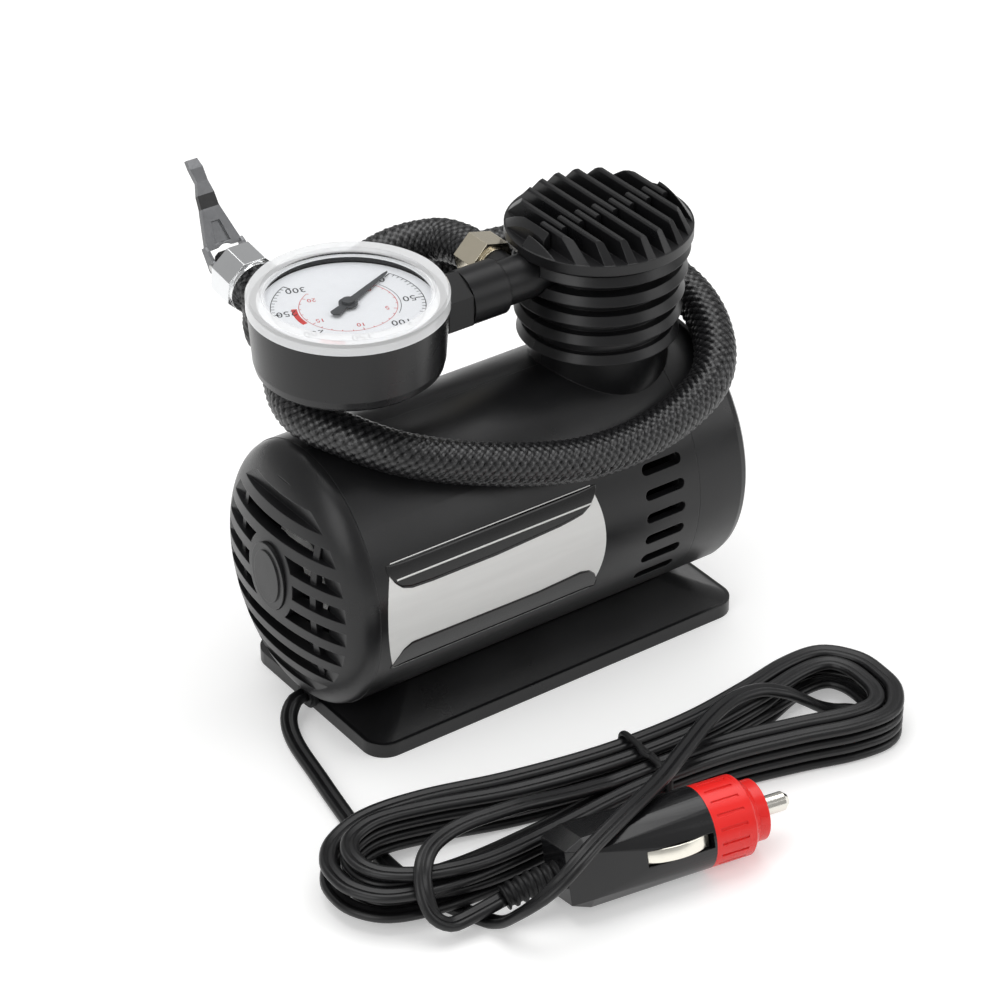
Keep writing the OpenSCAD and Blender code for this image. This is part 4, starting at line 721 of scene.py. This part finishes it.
def fuse_finish():
    """Glass fuse: bright caps at both ends and a cloudy tube between, along the plug's axis."""
    n = Nodes("fuse")
    axis = on_plug((1, 0, 0)) - on_plug((0, 0, 0))
    low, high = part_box("plug_fuse")
    middle = float((np.array(low) + np.array(high)) @ axis / 2)
    off = n.math("ABSOLUTE", n.math("SUBTRACT", n.far(axis), middle))
    cap = n.math("GREATER_THAN", off, FUSE_CAP_AT * MM)
    cloud = n.noise(300)
    glass = n.blend(cloud, (0.5, 0.55, 0.56), (0.7, 0.75, 0.76))
    n.link(n.blend(cap, glass, (0.62, 0.6, 0.55)), "Base Color")
    n.link(cap, "Metallic")
    n.link(n.span(cloud, 0.3, 0.7, 0.12, 0.3), "Roughness")


def make_finishes(s):
    """Every finish. s holds the colours that a user may change."""
    black, rubber = tuple(s.plastic), tuple(s.rubber)
    moulded("shell", black, 0.34, specular=0.42)
    moulded("base", shade(black, 0.8), 0.33, (1600, 0.03), mottle=0.08, edge=0.5, specular=0.45)
    moulded("case", shade(black, 1.05), 0.26, (1500, 0.008), mottle=0.05, edge=0.4, specular=0.4)
    moulded("fitting", shade(black, 0.9), 0.34, (1500, 0.01), mottle=0.06, edge=0.3)
    moulded("grip", shade(black, 0.95), 0.16, (1200, 0.004), mottle=0.04, edge=0.3, specular=0.5)
    moulded("soft", rubber, 0.5, (2000, 0.02), mottle=0.08, edge=0.25)
    moulded("red", tuple(s.collar), 0.28, (1200, 0.008), mottle=0.05, lift=0.25, specular=0.5, dust=0.05)
    clean = {"grain": (1400, 0.01), "mottle": 0.06, "edge": 0.2, "specular": 0.5, "dust": 0.05}
    moulded("nylon", (0.66, 0.66, 0.63), 0.4, lift=0.15, **clean)
    moulded("pale", (0.95, 0.95, 0.93), 0.4, lift=0.1, **clean)
    metal("steel", (0.56, 0.56, 0.55), 0.3)
    metal("zinc", (0.52, 0.53, 0.54), 0.36, (700, 0.03), stain=0.45)
    metal("dark_steel", (0.10, 0.10, 0.105), 0.38)
    metal("chrome", (0.80, 0.81, 0.82), 0.09, (900, 0.003), edge=0.3, stain=0.1)
    metal("nickel", (0.76, 0.74, 0.68), 0.16, (900, 0.006), edge=0.2, stain=0.15)
    metal("contact", (0.86, 0.83, 0.74), 0.2, (900, 0.004), edge=0.2, stain=0.08)
    metal("plated", tuple(s.brass), 0.17, (900, 0.004), edge=0.3, stain=0.2)
    metal("brass", (0.66, 0.48, 0.22), 0.3)
    metal("bronze", (0.45, 0.28, 0.13), 0.42)
    metal("copper", (0.70, 0.32, 0.17), 0.28)
    metal("alloy", (0.60, 0.60, 0.61), 0.42, (500, 0.05), edge=0.3)
    print_finish("ferrite", (0.03, 0.03, 0.032), 0.7, flecks=0.3)
    print_finish("dial", tuple(s.dial), 0.45, flecks=0.03)
    print_finish("ink", (0.02, 0.02, 0.022), 0.5, flecks=0.2)
    print_finish("red_ink", (0.66, 0.05, 0.045), 0.5, flecks=0.15)
    print_finish("needle", (0.055, 0.057, 0.06), 0.42, flecks=0.2)
    foil_finish("foil", tuple(s.label), 0.5)
    foil_finish("band", (0.006, 0.006, 0.0065), 0.22)
    braid_finish(shade(black, 1.1))
    jacket_finish(rubber)
    crystal_finish()
    lever_finish()
    winding_finish()
    fuse_finish()


NODE_FINISH = {
    "shell": "housing_left housing_right front_grille grille_badge rear_cap",
    "base": "base_plate",
    "case": "gauge_case",
    "fitting": "gauge_socket gauge_nut outlet_pipe pipe_collar chuck_body",
    "grip": "plug_grip",
    "red": "plug_collar",
    "soft": "chuck_seal piston_cup cord_gland plug_relief cord_tie",
    "pale": "cooling_fan",
    "nylon": "crank_gear connecting_rod motor_end_bell",
    "steel": "rotor_shaft gear_axle motor_screws head_screws lever_pin motor_pinion",
    "dark_steel": "base_screws housing_screws",
    "zinc": "motor_can",
    "alloy": "drive_frame piston_retainer cylinder_liner valve_plate cylinder_head",
    "bronze": "motor_bushes rod_bush",
    "copper": "commutator",
    "ferrite": "motor_magnets",
    "armature": "armature",
    "brass": "bourdon_tube movement_plates sector_gear pointer_shaft",
    "plated": "hose_nut",
    "chrome": "chuck_nut",
    "lever": "chuck_lever",
    "nickel": "plug_tip plug_springs tip_spring",
    "crystal": "gauge_cover",
    "dial": "gauge_dial",
    "needle": "gauge_needle",
    "fuse": "plug_fuse",
    "foil": "side_label",
    "braid": "air_hose",
    "jacket": "power_cord cord_hank",
}


class INFLATOR_OT_finishes(bpy.types.Operator):
    """Give every CAD node its finish"""

    bl_idname = "inflator.finishes"
    bl_label = "Finishes"

    def execute(self, context):
        make_finishes(context.scene.inflator_finish)
        for name, nodes in NODE_FINISH.items():
            for node in nodes.split():
                NODES[node].data.materials.clear()
                NODES[node].data.materials.append(FINISHES[name])
        return {"FINISHED"}


# ---------- stage operator ----------


def area_lamp(name, power, place, aim, size):
    """A rectangular softbox at place, facing aim; lengths in metres and power in watts."""
    light = bpy.data.lights.new(name, "AREA")
    light.shape, light.size, light.size_y = "RECTANGLE", *size
    light.energy = power
    lamp = bpy.data.objects.new(name, light)
    lamp.location = place
    lamp.rotation_euler = (Vector(aim) - Vector(place)).to_track_quat("-Z", "Y").to_euler()
    bpy.context.scene.collection.objects.link(lamp)


class INFLATOR_OT_stage(bpy.types.Operator):
    """Set the floor, the lamps, the room light and the camera"""

    bl_idname = "inflator.stage"
    bl_label = "Stage"

    def execute(self, context):
        s = context.scene.inflator_stage
        scene = context.scene
        scene.view_settings.view_transform = "Standard"
        self.camera(scene, s)
        self.floor()
        self.room(scene, s)
        area_lamp("overhead", s.key, place=(0.10, 0.25, 1.25), aim=(0, 0, 0.05), size=(1.3, 1.1))
        area_lamp("left", s.fill, place=(-1.15, -0.35, 0.75), aim=(0, 0, 0.06), size=(0.8, 1.0))
        area_lamp("right", s.fill * 0.8, place=(0.95, -0.95, 0.7), aim=(0, -0.03, 0.05), size=(0.9, 0.8))
        return {"FINISHED"}

    def camera(self, scene, s):
        """The camera looks against the direction that its azimuth and elevation give."""
        back = Vector((math.sin(s.azimuth) * math.cos(s.elevation),
                       -math.cos(s.azimuth) * math.cos(s.elevation), math.sin(s.elevation)))
        data = bpy.data.cameras.new("camera")
        data.lens, data.sensor_width = s.lens, SENSOR_W
        data.clip_start, data.clip_end = 0.05, 20
        camera = bpy.data.objects.new("camera", data)
        camera.location = CAMERA_AT
        camera.rotation_euler = (-back).to_track_quat("-Z", "Y").to_euler()
        scene.collection.objects.link(camera)
        scene.camera = camera

    def floor(self):
        """One pale plane under the object, with a glow that only camera, glossy and transmission rays see."""
        n = Nodes("floor")
        n.fix("Roughness", 0.9)
        n.fix("Specular IOR Level", 0.1)
        n.link(n.blend(n.noise(3, 2), (0.80, 0.80, 0.80), (0.83, 0.83, 0.82)), "Base Color")
        path = n.add("LightPath").outputs
        seen = n.math("MAXIMUM", path["Is Glossy Ray"], path["Is Transmission Ray"])
        glow = n.times(n.math("MAXIMUM", path["Is Camera Ray"], seen), FLOOR_GLOW)
        light = n.add("Emission", {"Color": (1, 1, 1, 1), "Strength": glow})
        n.surface(n.add("AddShader", {0: n.shader.outputs[0], 1: light.outputs[0]}).outputs[0])
        across = np.linspace(-FLOOR_HALF, FLOOR_HALF, 9)
        x, y = np.meshgrid(across, across, indexing="ij")
        plane = grid_piece("floor", np.stack([x, y, x * 0 + FLOOR_Z], axis=-1), "floor")

    def room(self, scene, s):
        """A plain pale room: the world lights at its strength, and shows white to the camera."""
        world = bpy.data.worlds.new("room")
        world.use_nodes = True
        scene.world = world
        tree = world.node_tree
        path = tree.nodes.new("ShaderNodeLightPath")
        span = tree.nodes.new("ShaderNodeMapRange")
        tree.links.new(path.outputs["Is Camera Ray"], span.inputs["Value"])
        span.inputs["To Min"].default_value = s.sky
        span.inputs["To Max"].default_value = 1.0
        back = tree.nodes["Background"]
        back.inputs["Color"].default_value = (1, 1, 1, 1)
        tree.links.new(span.outputs["Result"], back.inputs["Strength"])


# ---------- hose operator ----------


def weave(u, v, strands):
    """Plain weave of two helical sets of strands on a tube, 0 in the joins to 1 on the crowns. With strand
    counts a = strands (v + u) and b = strands (v - u), u in pitches and v in turns, the strand of set a
    lies on top in the cells where floor(a) + floor(b) is even, and set b in the others. Across a strand the
    height is half an ellipse, and along it a half sine, raised to STRAND_DIVE at the cell's ends."""
    a, b = strands * (v + u), strands * (v - u)
    top = (np.floor(a) + np.floor(b)) % 2 < 0.5
    across, length = np.where(top, a % 1, b % 1), np.where(top, b % 1, a % 1)
    crown = np.sqrt(np.clip(1 - (2 * across - 1) ** 2, 0, 1))
    return crown * (STRAND_DIVE + (1 - STRAND_DIVE) * np.sin(np.pi * length))


class INFLATOR_OT_hose(bpy.types.Operator):
    """Sweep the braided air hose from its nut to the chuck"""

    bl_idname = "inflator.hose"
    bl_label = "Air hose"

    def execute(self, context):
        s = context.scene.inflator_lines
        line = resample(spline(HOSE_ROUTE, 24), HOSE_STEP)
        run = along(line)
        side, normal = sides(line, (0, 1, 0), (0, math.cos(CHUCK_TILT), math.sin(CHUCK_TILT)))
        u, v = np.meshgrid(run / s.braid_pitch, np.arange(HOSE_AROUND) / HOSE_AROUND, indexing="ij")
        height = weave(u, v, s.braid_strands)
        radius = s.hose_d / 2 - s.braid_relief * (1 - height)
        a = 2 * np.pi * v
        rings = sweep(line, side, normal, radius * np.cos(a), radius * np.sin(a))
        hose = grid_piece("braided_hose", rings, "braid", tube=True)
        attribute(hose, "weave", height)
        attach(hose, "compressor")
        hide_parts("air_hose")
        return {"FINISHED"}


# ---------- cord, boot, contacts and tie operators ----------


def lane(s, k):
    """Column (k 1) or row (k 2) of the hank's loop at s loops: the last move begun, eased in."""
    value = np.zeros_like(s)
    for move in LANE_MOVES:
        share = ease((s - move[0]) / LANE_MOVE_L)
        value = value + (move[k] - value) * share
    return value


def loop_xy(s):
    """The hank's loop, run clockwise, s in loops: a long blunt oval drawn in at the waist. With c and q the
    cosine and sine of its angle, x is the half length times c (1 + blunt q^2). y is q times a half width,
    the waist's plus w (1.25 - w / 2) of the eye's, where w is the square of c's way from the waist."""
    a = -2 * np.pi * s
    c, q = np.cos(a), np.sin(a)
    w = (c - HANK_WAIST_AT) ** 2
    eye = HANK_OPEN[0] + (HANK_OPEN[1] - HANK_OPEN[0]) * (c + 1) / 2
    x = HANK_HALF_L * c * (1 + HANK_BLUNT * q * q)
    return np.stack([x, q * (HANK_WAIST + eye * w * (1.25 - 0.5 * w))], axis=-1)


def hank_line(s):
    """The hank's centre line: the loop, moved out by its column and up by its row, and lifted at the
    left end, where it lies over the cord's tail."""
    step = 0.002
    d = unit(loop_xy(s + step) - loop_xy(s - step))
    out = np.stack([-d[:, 1], d[:, 0]], axis=-1)
    x, y = (loop_xy(s) + out * COLUMN_STEP * lane(s, 1)[:, None]).T
    z = HANK_FOOT_Z + ROW_STEP * lane(s, 2) + LIFT_H * ease((LIFT_X - x) / LIFT_L)
    return on_hank(np.stack([x, y, z], axis=-1))


def boot_line():
    """The relief boot's route, from the grip's back to where the cord enters it."""
    return on_plug([(x - GRIP_L, 0, z) for x, z in BOOT_ROUTE], roll=0)


def cord_leaves():
    """The direction in which the cord leaves the boot."""
    return unit((-math.cos(PLUG_TURN), -math.sin(PLUG_TURN), -BOOT_SLOPE))


def cord_line():
    """The whole cord, from the gland over the hank to the plug's relief, as one centre line."""
    loops = hank_line(np.linspace(*HANK_SPAN, HANK_POINTS))
    first = loops[0] - CORD_W * unit(loops[1] - loops[0])
    last = loops[-1] + CORD_W * unit(loops[-1] - loops[-2])
    end = boot_line()[-1]
    before = spline([*CORD_ROUTE, first, loops[0]], 12)
    wound = spline(loops, 6)
    after = spline([loops[-1], last, *TAIL_ROUTE, end + CORD_W * cord_leaves(), end], 12)
    return resample(np.concatenate([before[:-1], wound[:-1], after]), CORD_STEP)


def twin_section(width, thick, steps=10):
    """Outline of a twin cord lying flat, as rows of x and y: two round cores side by side, with a groove
    between them on each face. Each core is an arc of radius thick / 2 from groove to groove."""
    r = thick / 2
    middle = width / 2 - r
    reach = math.acos((middle - TWIN_GROOVE) / r)
    a = np.linspace(reach - np.pi, np.pi - reach, steps)
    x, y = middle + r * np.cos(a), r * np.sin(a)
    return np.concatenate([x, -x])[None], np.concatenate([y, -y])[None]


class INFLATOR_OT_cord(bpy.types.Operator):
    """Sweep the twin power cord from the gland through its hank to the plug"""

    bl_idname = "inflator.cord"
    bl_label = "Power cord"

    def execute(self, context):
        line = cord_line()
        side, normal = sides(line, (-1, 0, 0), -cord_leaves())
        rings = sweep(line, side, normal, *twin_section(CORD_W, CORD_T))
        cord = grid_piece("twin_cord", rings, "jacket", tube=True, caps=True)
        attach(cord, "compressor")
        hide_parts("power_cord", "cord_hank")
        return {"FINISHED"}


class INFLATOR_OT_boot(bpy.types.Operator):
    """Sweep the ribbed boot that relieves the cord at the plug"""

    bl_idname = "inflator.boot"
    bl_label = "Relief boot"

    def execute(self, context):
        line = resample(spline(boot_line(), 12), 0.2)
        side, normal = sides(line)
        run = along(line) / along(line)[-1]
        rib = np.clip(BOOT_RIB_FLANK * np.cos(2 * np.pi * BOOT_RIBS * run), -1, 1)
        radius = (BOOT_R - BOOT_TAPER * run + BOOT_RIB_H * rib)[:, None]
        a = circle(32)
        rings = sweep(line, side, normal, radius * np.cos(a), radius * np.sin(a))
        boot = grid_piece("relief_boot", rings, "soft", tube=True, caps=True)
        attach(boot, "compressor")
        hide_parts("plug_relief")
        return {"FINISHED"}


class INFLATOR_OT_contacts(bpy.types.Operator):
    """Bend the plug's two side contacts: a sprung strip in each slot of the grip"""

    bl_idname = "inflator.contacts"
    bl_label = "Side contacts"

    def execute(self, context):
        bow = resample(spline([(x, y, 0) for x, y in CONTACT_BOW], 12), 0.25)
        t = headings(bow)
        out = np.stack([-t[:, 1], t[:, 0], 0 * t[:, 0]], axis=-1)
        across, high = np.array(CONTACT_SECTION).T[:, None]
        strip = sweep(bow, np.tile(UP, (len(bow), 1)), out, across, high)
        for k, flip in ((1, 1), (2, -1)):
            turned = on_plug(strip * (1, flip, 1))
            piece = grid_piece(f"side_contact_{k}", turned, "contact", tube=True, caps=True)
            soften_edges(piece, CONTACT_BEVEL)
            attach(piece, "compressor")
            if k == 1:
                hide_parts("plug_springs")
        return {"FINISHED"}


class INFLATOR_OT_tie(bpy.types.Operator):
    """Wrap the wire tie round the hank's waist, with its twisted ends"""

    bl_idname = "inflator.tie"
    bl_label = "Wire tie"

    def execute(self, context):
        axis = on_hank((1, 0, 0)) - on_hank((0, 0, 0))
        a = circle(12)
        for name, route in TIE_ROUTES.items():
            line = resample(on_hank(spline(route, 8)), 0.5)
            t = headings(line)
            out = unit(np.cross(t, axis))
            rise = (line[:, 2:] - TIE_RISE[0]) / (TIE_RISE[1] - TIE_RISE[0])
            thick = TIE_FLAT + TIE_GAIN * ease(rise)
            rings = sweep(line, np.cross(out, t), out, TIE_HALF_W * np.cos(a), thick * np.sin(a))
            wire = grid_piece(name, rings, "soft", tube=True, caps=True)
            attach(wire, "compressor")
            if name == "wire_tie":
                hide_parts("cord_tie")
        return {"FINISHED"}


# ---------- gauge print operator ----------


def strips_piece(name, strips, finish_name):
    """One mesh of ruled strips: each strip is n points of one edge beside n of the other, in mm, and face i
    joins the pairs i and i + 1."""
    verts, faces, base = [], [], 0
    for left, right in strips:
        n = len(left)
        verts.append(np.stack([left, right], axis=1).reshape(-1, 3))
        i = base + 2 * np.arange(n - 1)
        faces.append(np.stack([i, i + 1, i + 3, i + 2], axis=1))
        base += 2 * n
    piece = add_piece(name, np.concatenate(verts), np.concatenate(faces).tolist(), finish_name)
    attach(piece, "compressor")


def arc_strip(r0, r1, from_deg, to_deg, steps, z=INK_Z):
    """A ring sector of the dial from radius r0 to r1, between two angles in degrees, facing up."""
    a = np.radians(np.linspace(max(from_deg, to_deg), min(from_deg, to_deg), steps))
    spoke = np.stack([np.cos(a), np.sin(a), 0 * a], axis=-1)
    middle = np.array([GAUGE_X, 0, z])
    return middle + r0 * spoke, middle + r1 * spoke


def scale_line(r0, r1):
    """The thin line along a whole scale."""
    return arc_strip(r0, r1, SCALE_FROM, SCALE_FROM + SCALE_SWEEP, 120)


def ticks(marks, count, rim):
    """A scale's radial ticks out to the rim's radius. marks gives the inner radius and the width by the
    tick's number: the first key that divides it holds."""
    middle = np.array([GAUGE_X, 0, INK_Z])
    for k in range(count + 1):
        foot, width = next(mark for every, mark in marks.items() if k % every == 0)
        a = math.radians(SCALE_FROM + SCALE_SWEEP * k / count)
        out = np.array([math.cos(a), math.sin(a), 0])
        side = np.array([-math.sin(a), math.cos(a), 0]) * width / 2
        ends = np.stack([middle + foot * out, middle + rim * out])
        yield ends + side, ends - side


def number_strips(text, r, deg, height, width):
    """A number's strokes as ribbons, centred at radius r and angle deg, upright on the dial."""
    up = np.array([math.cos(DIAL_UP), math.sin(DIAL_UP), 0])
    right = np.array([up[1], -up[0], 0])
    a = math.radians(deg)
    middle = np.array([GAUGE_X + r * math.cos(a), r * math.sin(a), INK_Z])
    for k, digit in enumerate(text):
        p = np.array(DIGITS[digit])
        x = (k - (len(text) - 1) / 2) * DIGIT_STEP * height + (p[:, 0] - 0.5) * DIGIT_W * height
        y = (p[:, 1] - 0.5) * height
        t = headings(np.stack([x, y], axis=-1))
        off = np.stack([-t[:, 1], t[:, 0]], axis=-1) * width / 2
        edges = [(x + s * off[:, 0], y + s * off[:, 1]) for s in (1, -1)]
        yield tuple(middle + ex[:, None] * right + ey[:, None] * up for ex, ey in edges)


def numbers(step, last, full, r, height, width):
    """A scale's numbers from 0 to last, where full is the value at the scale's end."""
    for value in range(0, last + 1, step):
        yield from number_strips(str(value), r, SCALE_FROM + SCALE_SWEEP * value / full, height, width)


class INFLATOR_OT_gauge(bpy.types.Operator):
    """Print the dial: its scales, numbers and coloured zones"""

    bl_idname = "inflator.gauge"
    bl_label = "Gauge print"

    def execute(self, context):
        black = [*ticks(OUTER_TICKS, 60, OUTER_R), scale_line(*OUTER_LINE)]
        black += numbers(step=50, last=300, full=300, r=15.4, height=2.3, width=0.34)
        black.append(arc_strip(*SHORT_ARC, 40, INK_Z + INK_STEP))
        red = [scale_line(*INNER_LINE), *ticks(INNER_TICKS, 21, INNER_R)]
        red += numbers(step=5, last=20, full=21, r=9.6, height=1.5, width=0.24)
        zones = [arc_strip(*zone, 24, INK_Z - INK_STEP) for zone in ZONES]
        strips_piece("dial_scale", black, "ink")
        strips_piece("dial_inner_scale", red, "red_ink")
        strips_piece("dial_zones", zones, "red_ink")
        return {"FINISHED"}


# ---------- label operator ----------


def on_shell(x, z, lift):
    """Points on the side of the shell at x and z, lifted off it."""
    return np.stack([x[:, None] + 0 * z, -side_y(z) - lift, z], axis=-1)


class INFLATOR_OT_label(bpy.types.Operator):
    """Lay the two dark bands and the thin silver line on the side label"""

    bl_idname = "inflator.label"
    bl_label = "Label bands"

    def execute(self, context):
        share = np.linspace(0, 1, 9)[None]
        for name, line, edge in (("label_upper_band", UPPER_BAND, LABEL_TOP),
                                 ("label_lower_band", LOWER_BAND, LABEL_FOOT)):
            along_x, height = np.array(line).T
            x = np.linspace(along_x[0] + BAND_INSET, along_x[-1] - BAND_INSET, 160)
            z = np.interp(x, along_x, height)[:, None] * (1 - share) + edge * share
            points = on_shell(x, z, BAND_LIFT)
            self.sheet(name, points[:, ::-1] if edge < BODY_MID_Z else points, "band")
        x = np.linspace(*LINE_X, 120)
        z = np.array(LINE_Z)[None] + 0 * x[:, None]
        self.sheet("label_line", on_shell(x, z, LINE_LIFT), "foil")
        return {"FINISHED"}

    def sheet(self, name, points, finish_name):
        """A thin sheet that faces away from the housing, as its columns run upwards."""
        sheet = grid_piece(name, points, finish_name)
        solid = sheet.modifiers.new("sheet", "SOLIDIFY")
        solid.thickness, solid.offset = BAND_T * MM, -1
        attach(sheet, "compressor")


# ---------- panel and run ----------


class INFLATOR_PT_panel(bpy.types.Panel):
    """The pieces and their settings"""

    bl_label = "Tire Inflator"
    bl_idname = "INFLATOR_PT_panel"
    bl_space_type = "VIEW_3D"
    bl_region_type = "UI"
    bl_category = "Inflator"

    def draw(self, context):
        for name in GROUPS:
            settings = getattr(context.scene, name)
            for key in settings.__annotations__:
                self.layout.prop(settings, key)
        for kind in OPERATORS:
            self.layout.operator(kind.bl_idname)


OPERATORS = (
    INFLATOR_OT_stage,
    INFLATOR_OT_finishes,
    INFLATOR_OT_gauge,
    INFLATOR_OT_label,
    INFLATOR_OT_hose,
    INFLATOR_OT_boot,
    INFLATOR_OT_contacts,
    INFLATOR_OT_tie,
    INFLATOR_OT_cord,
)
GROUPS = {"inflator_stage": StageSettings, "inflator_finish": FinishSettings, "inflator_lines": LineSettings}


def register():
    for kind in (*GROUPS.values(), *OPERATORS, INFLATOR_PT_panel):
        bpy.utils.register_class(kind)
    for name, kind in GROUPS.items():
        setattr(bpy.types.Scene, name, PointerProperty(type=kind))


def unregister():
    for name in GROUPS:
        delattr(bpy.types.Scene, name)
    for kind in reversed((*GROUPS.values(), *OPERATORS, INFLATOR_PT_panel)):
        bpy.utils.unregister_class(kind)


def main():
    register()
    for kind in OPERATORS:
        area, call = kind.bl_idname.split(".")
        getattr(getattr(bpy.ops, area), call)()


if __name__ == "__main__":
    main()
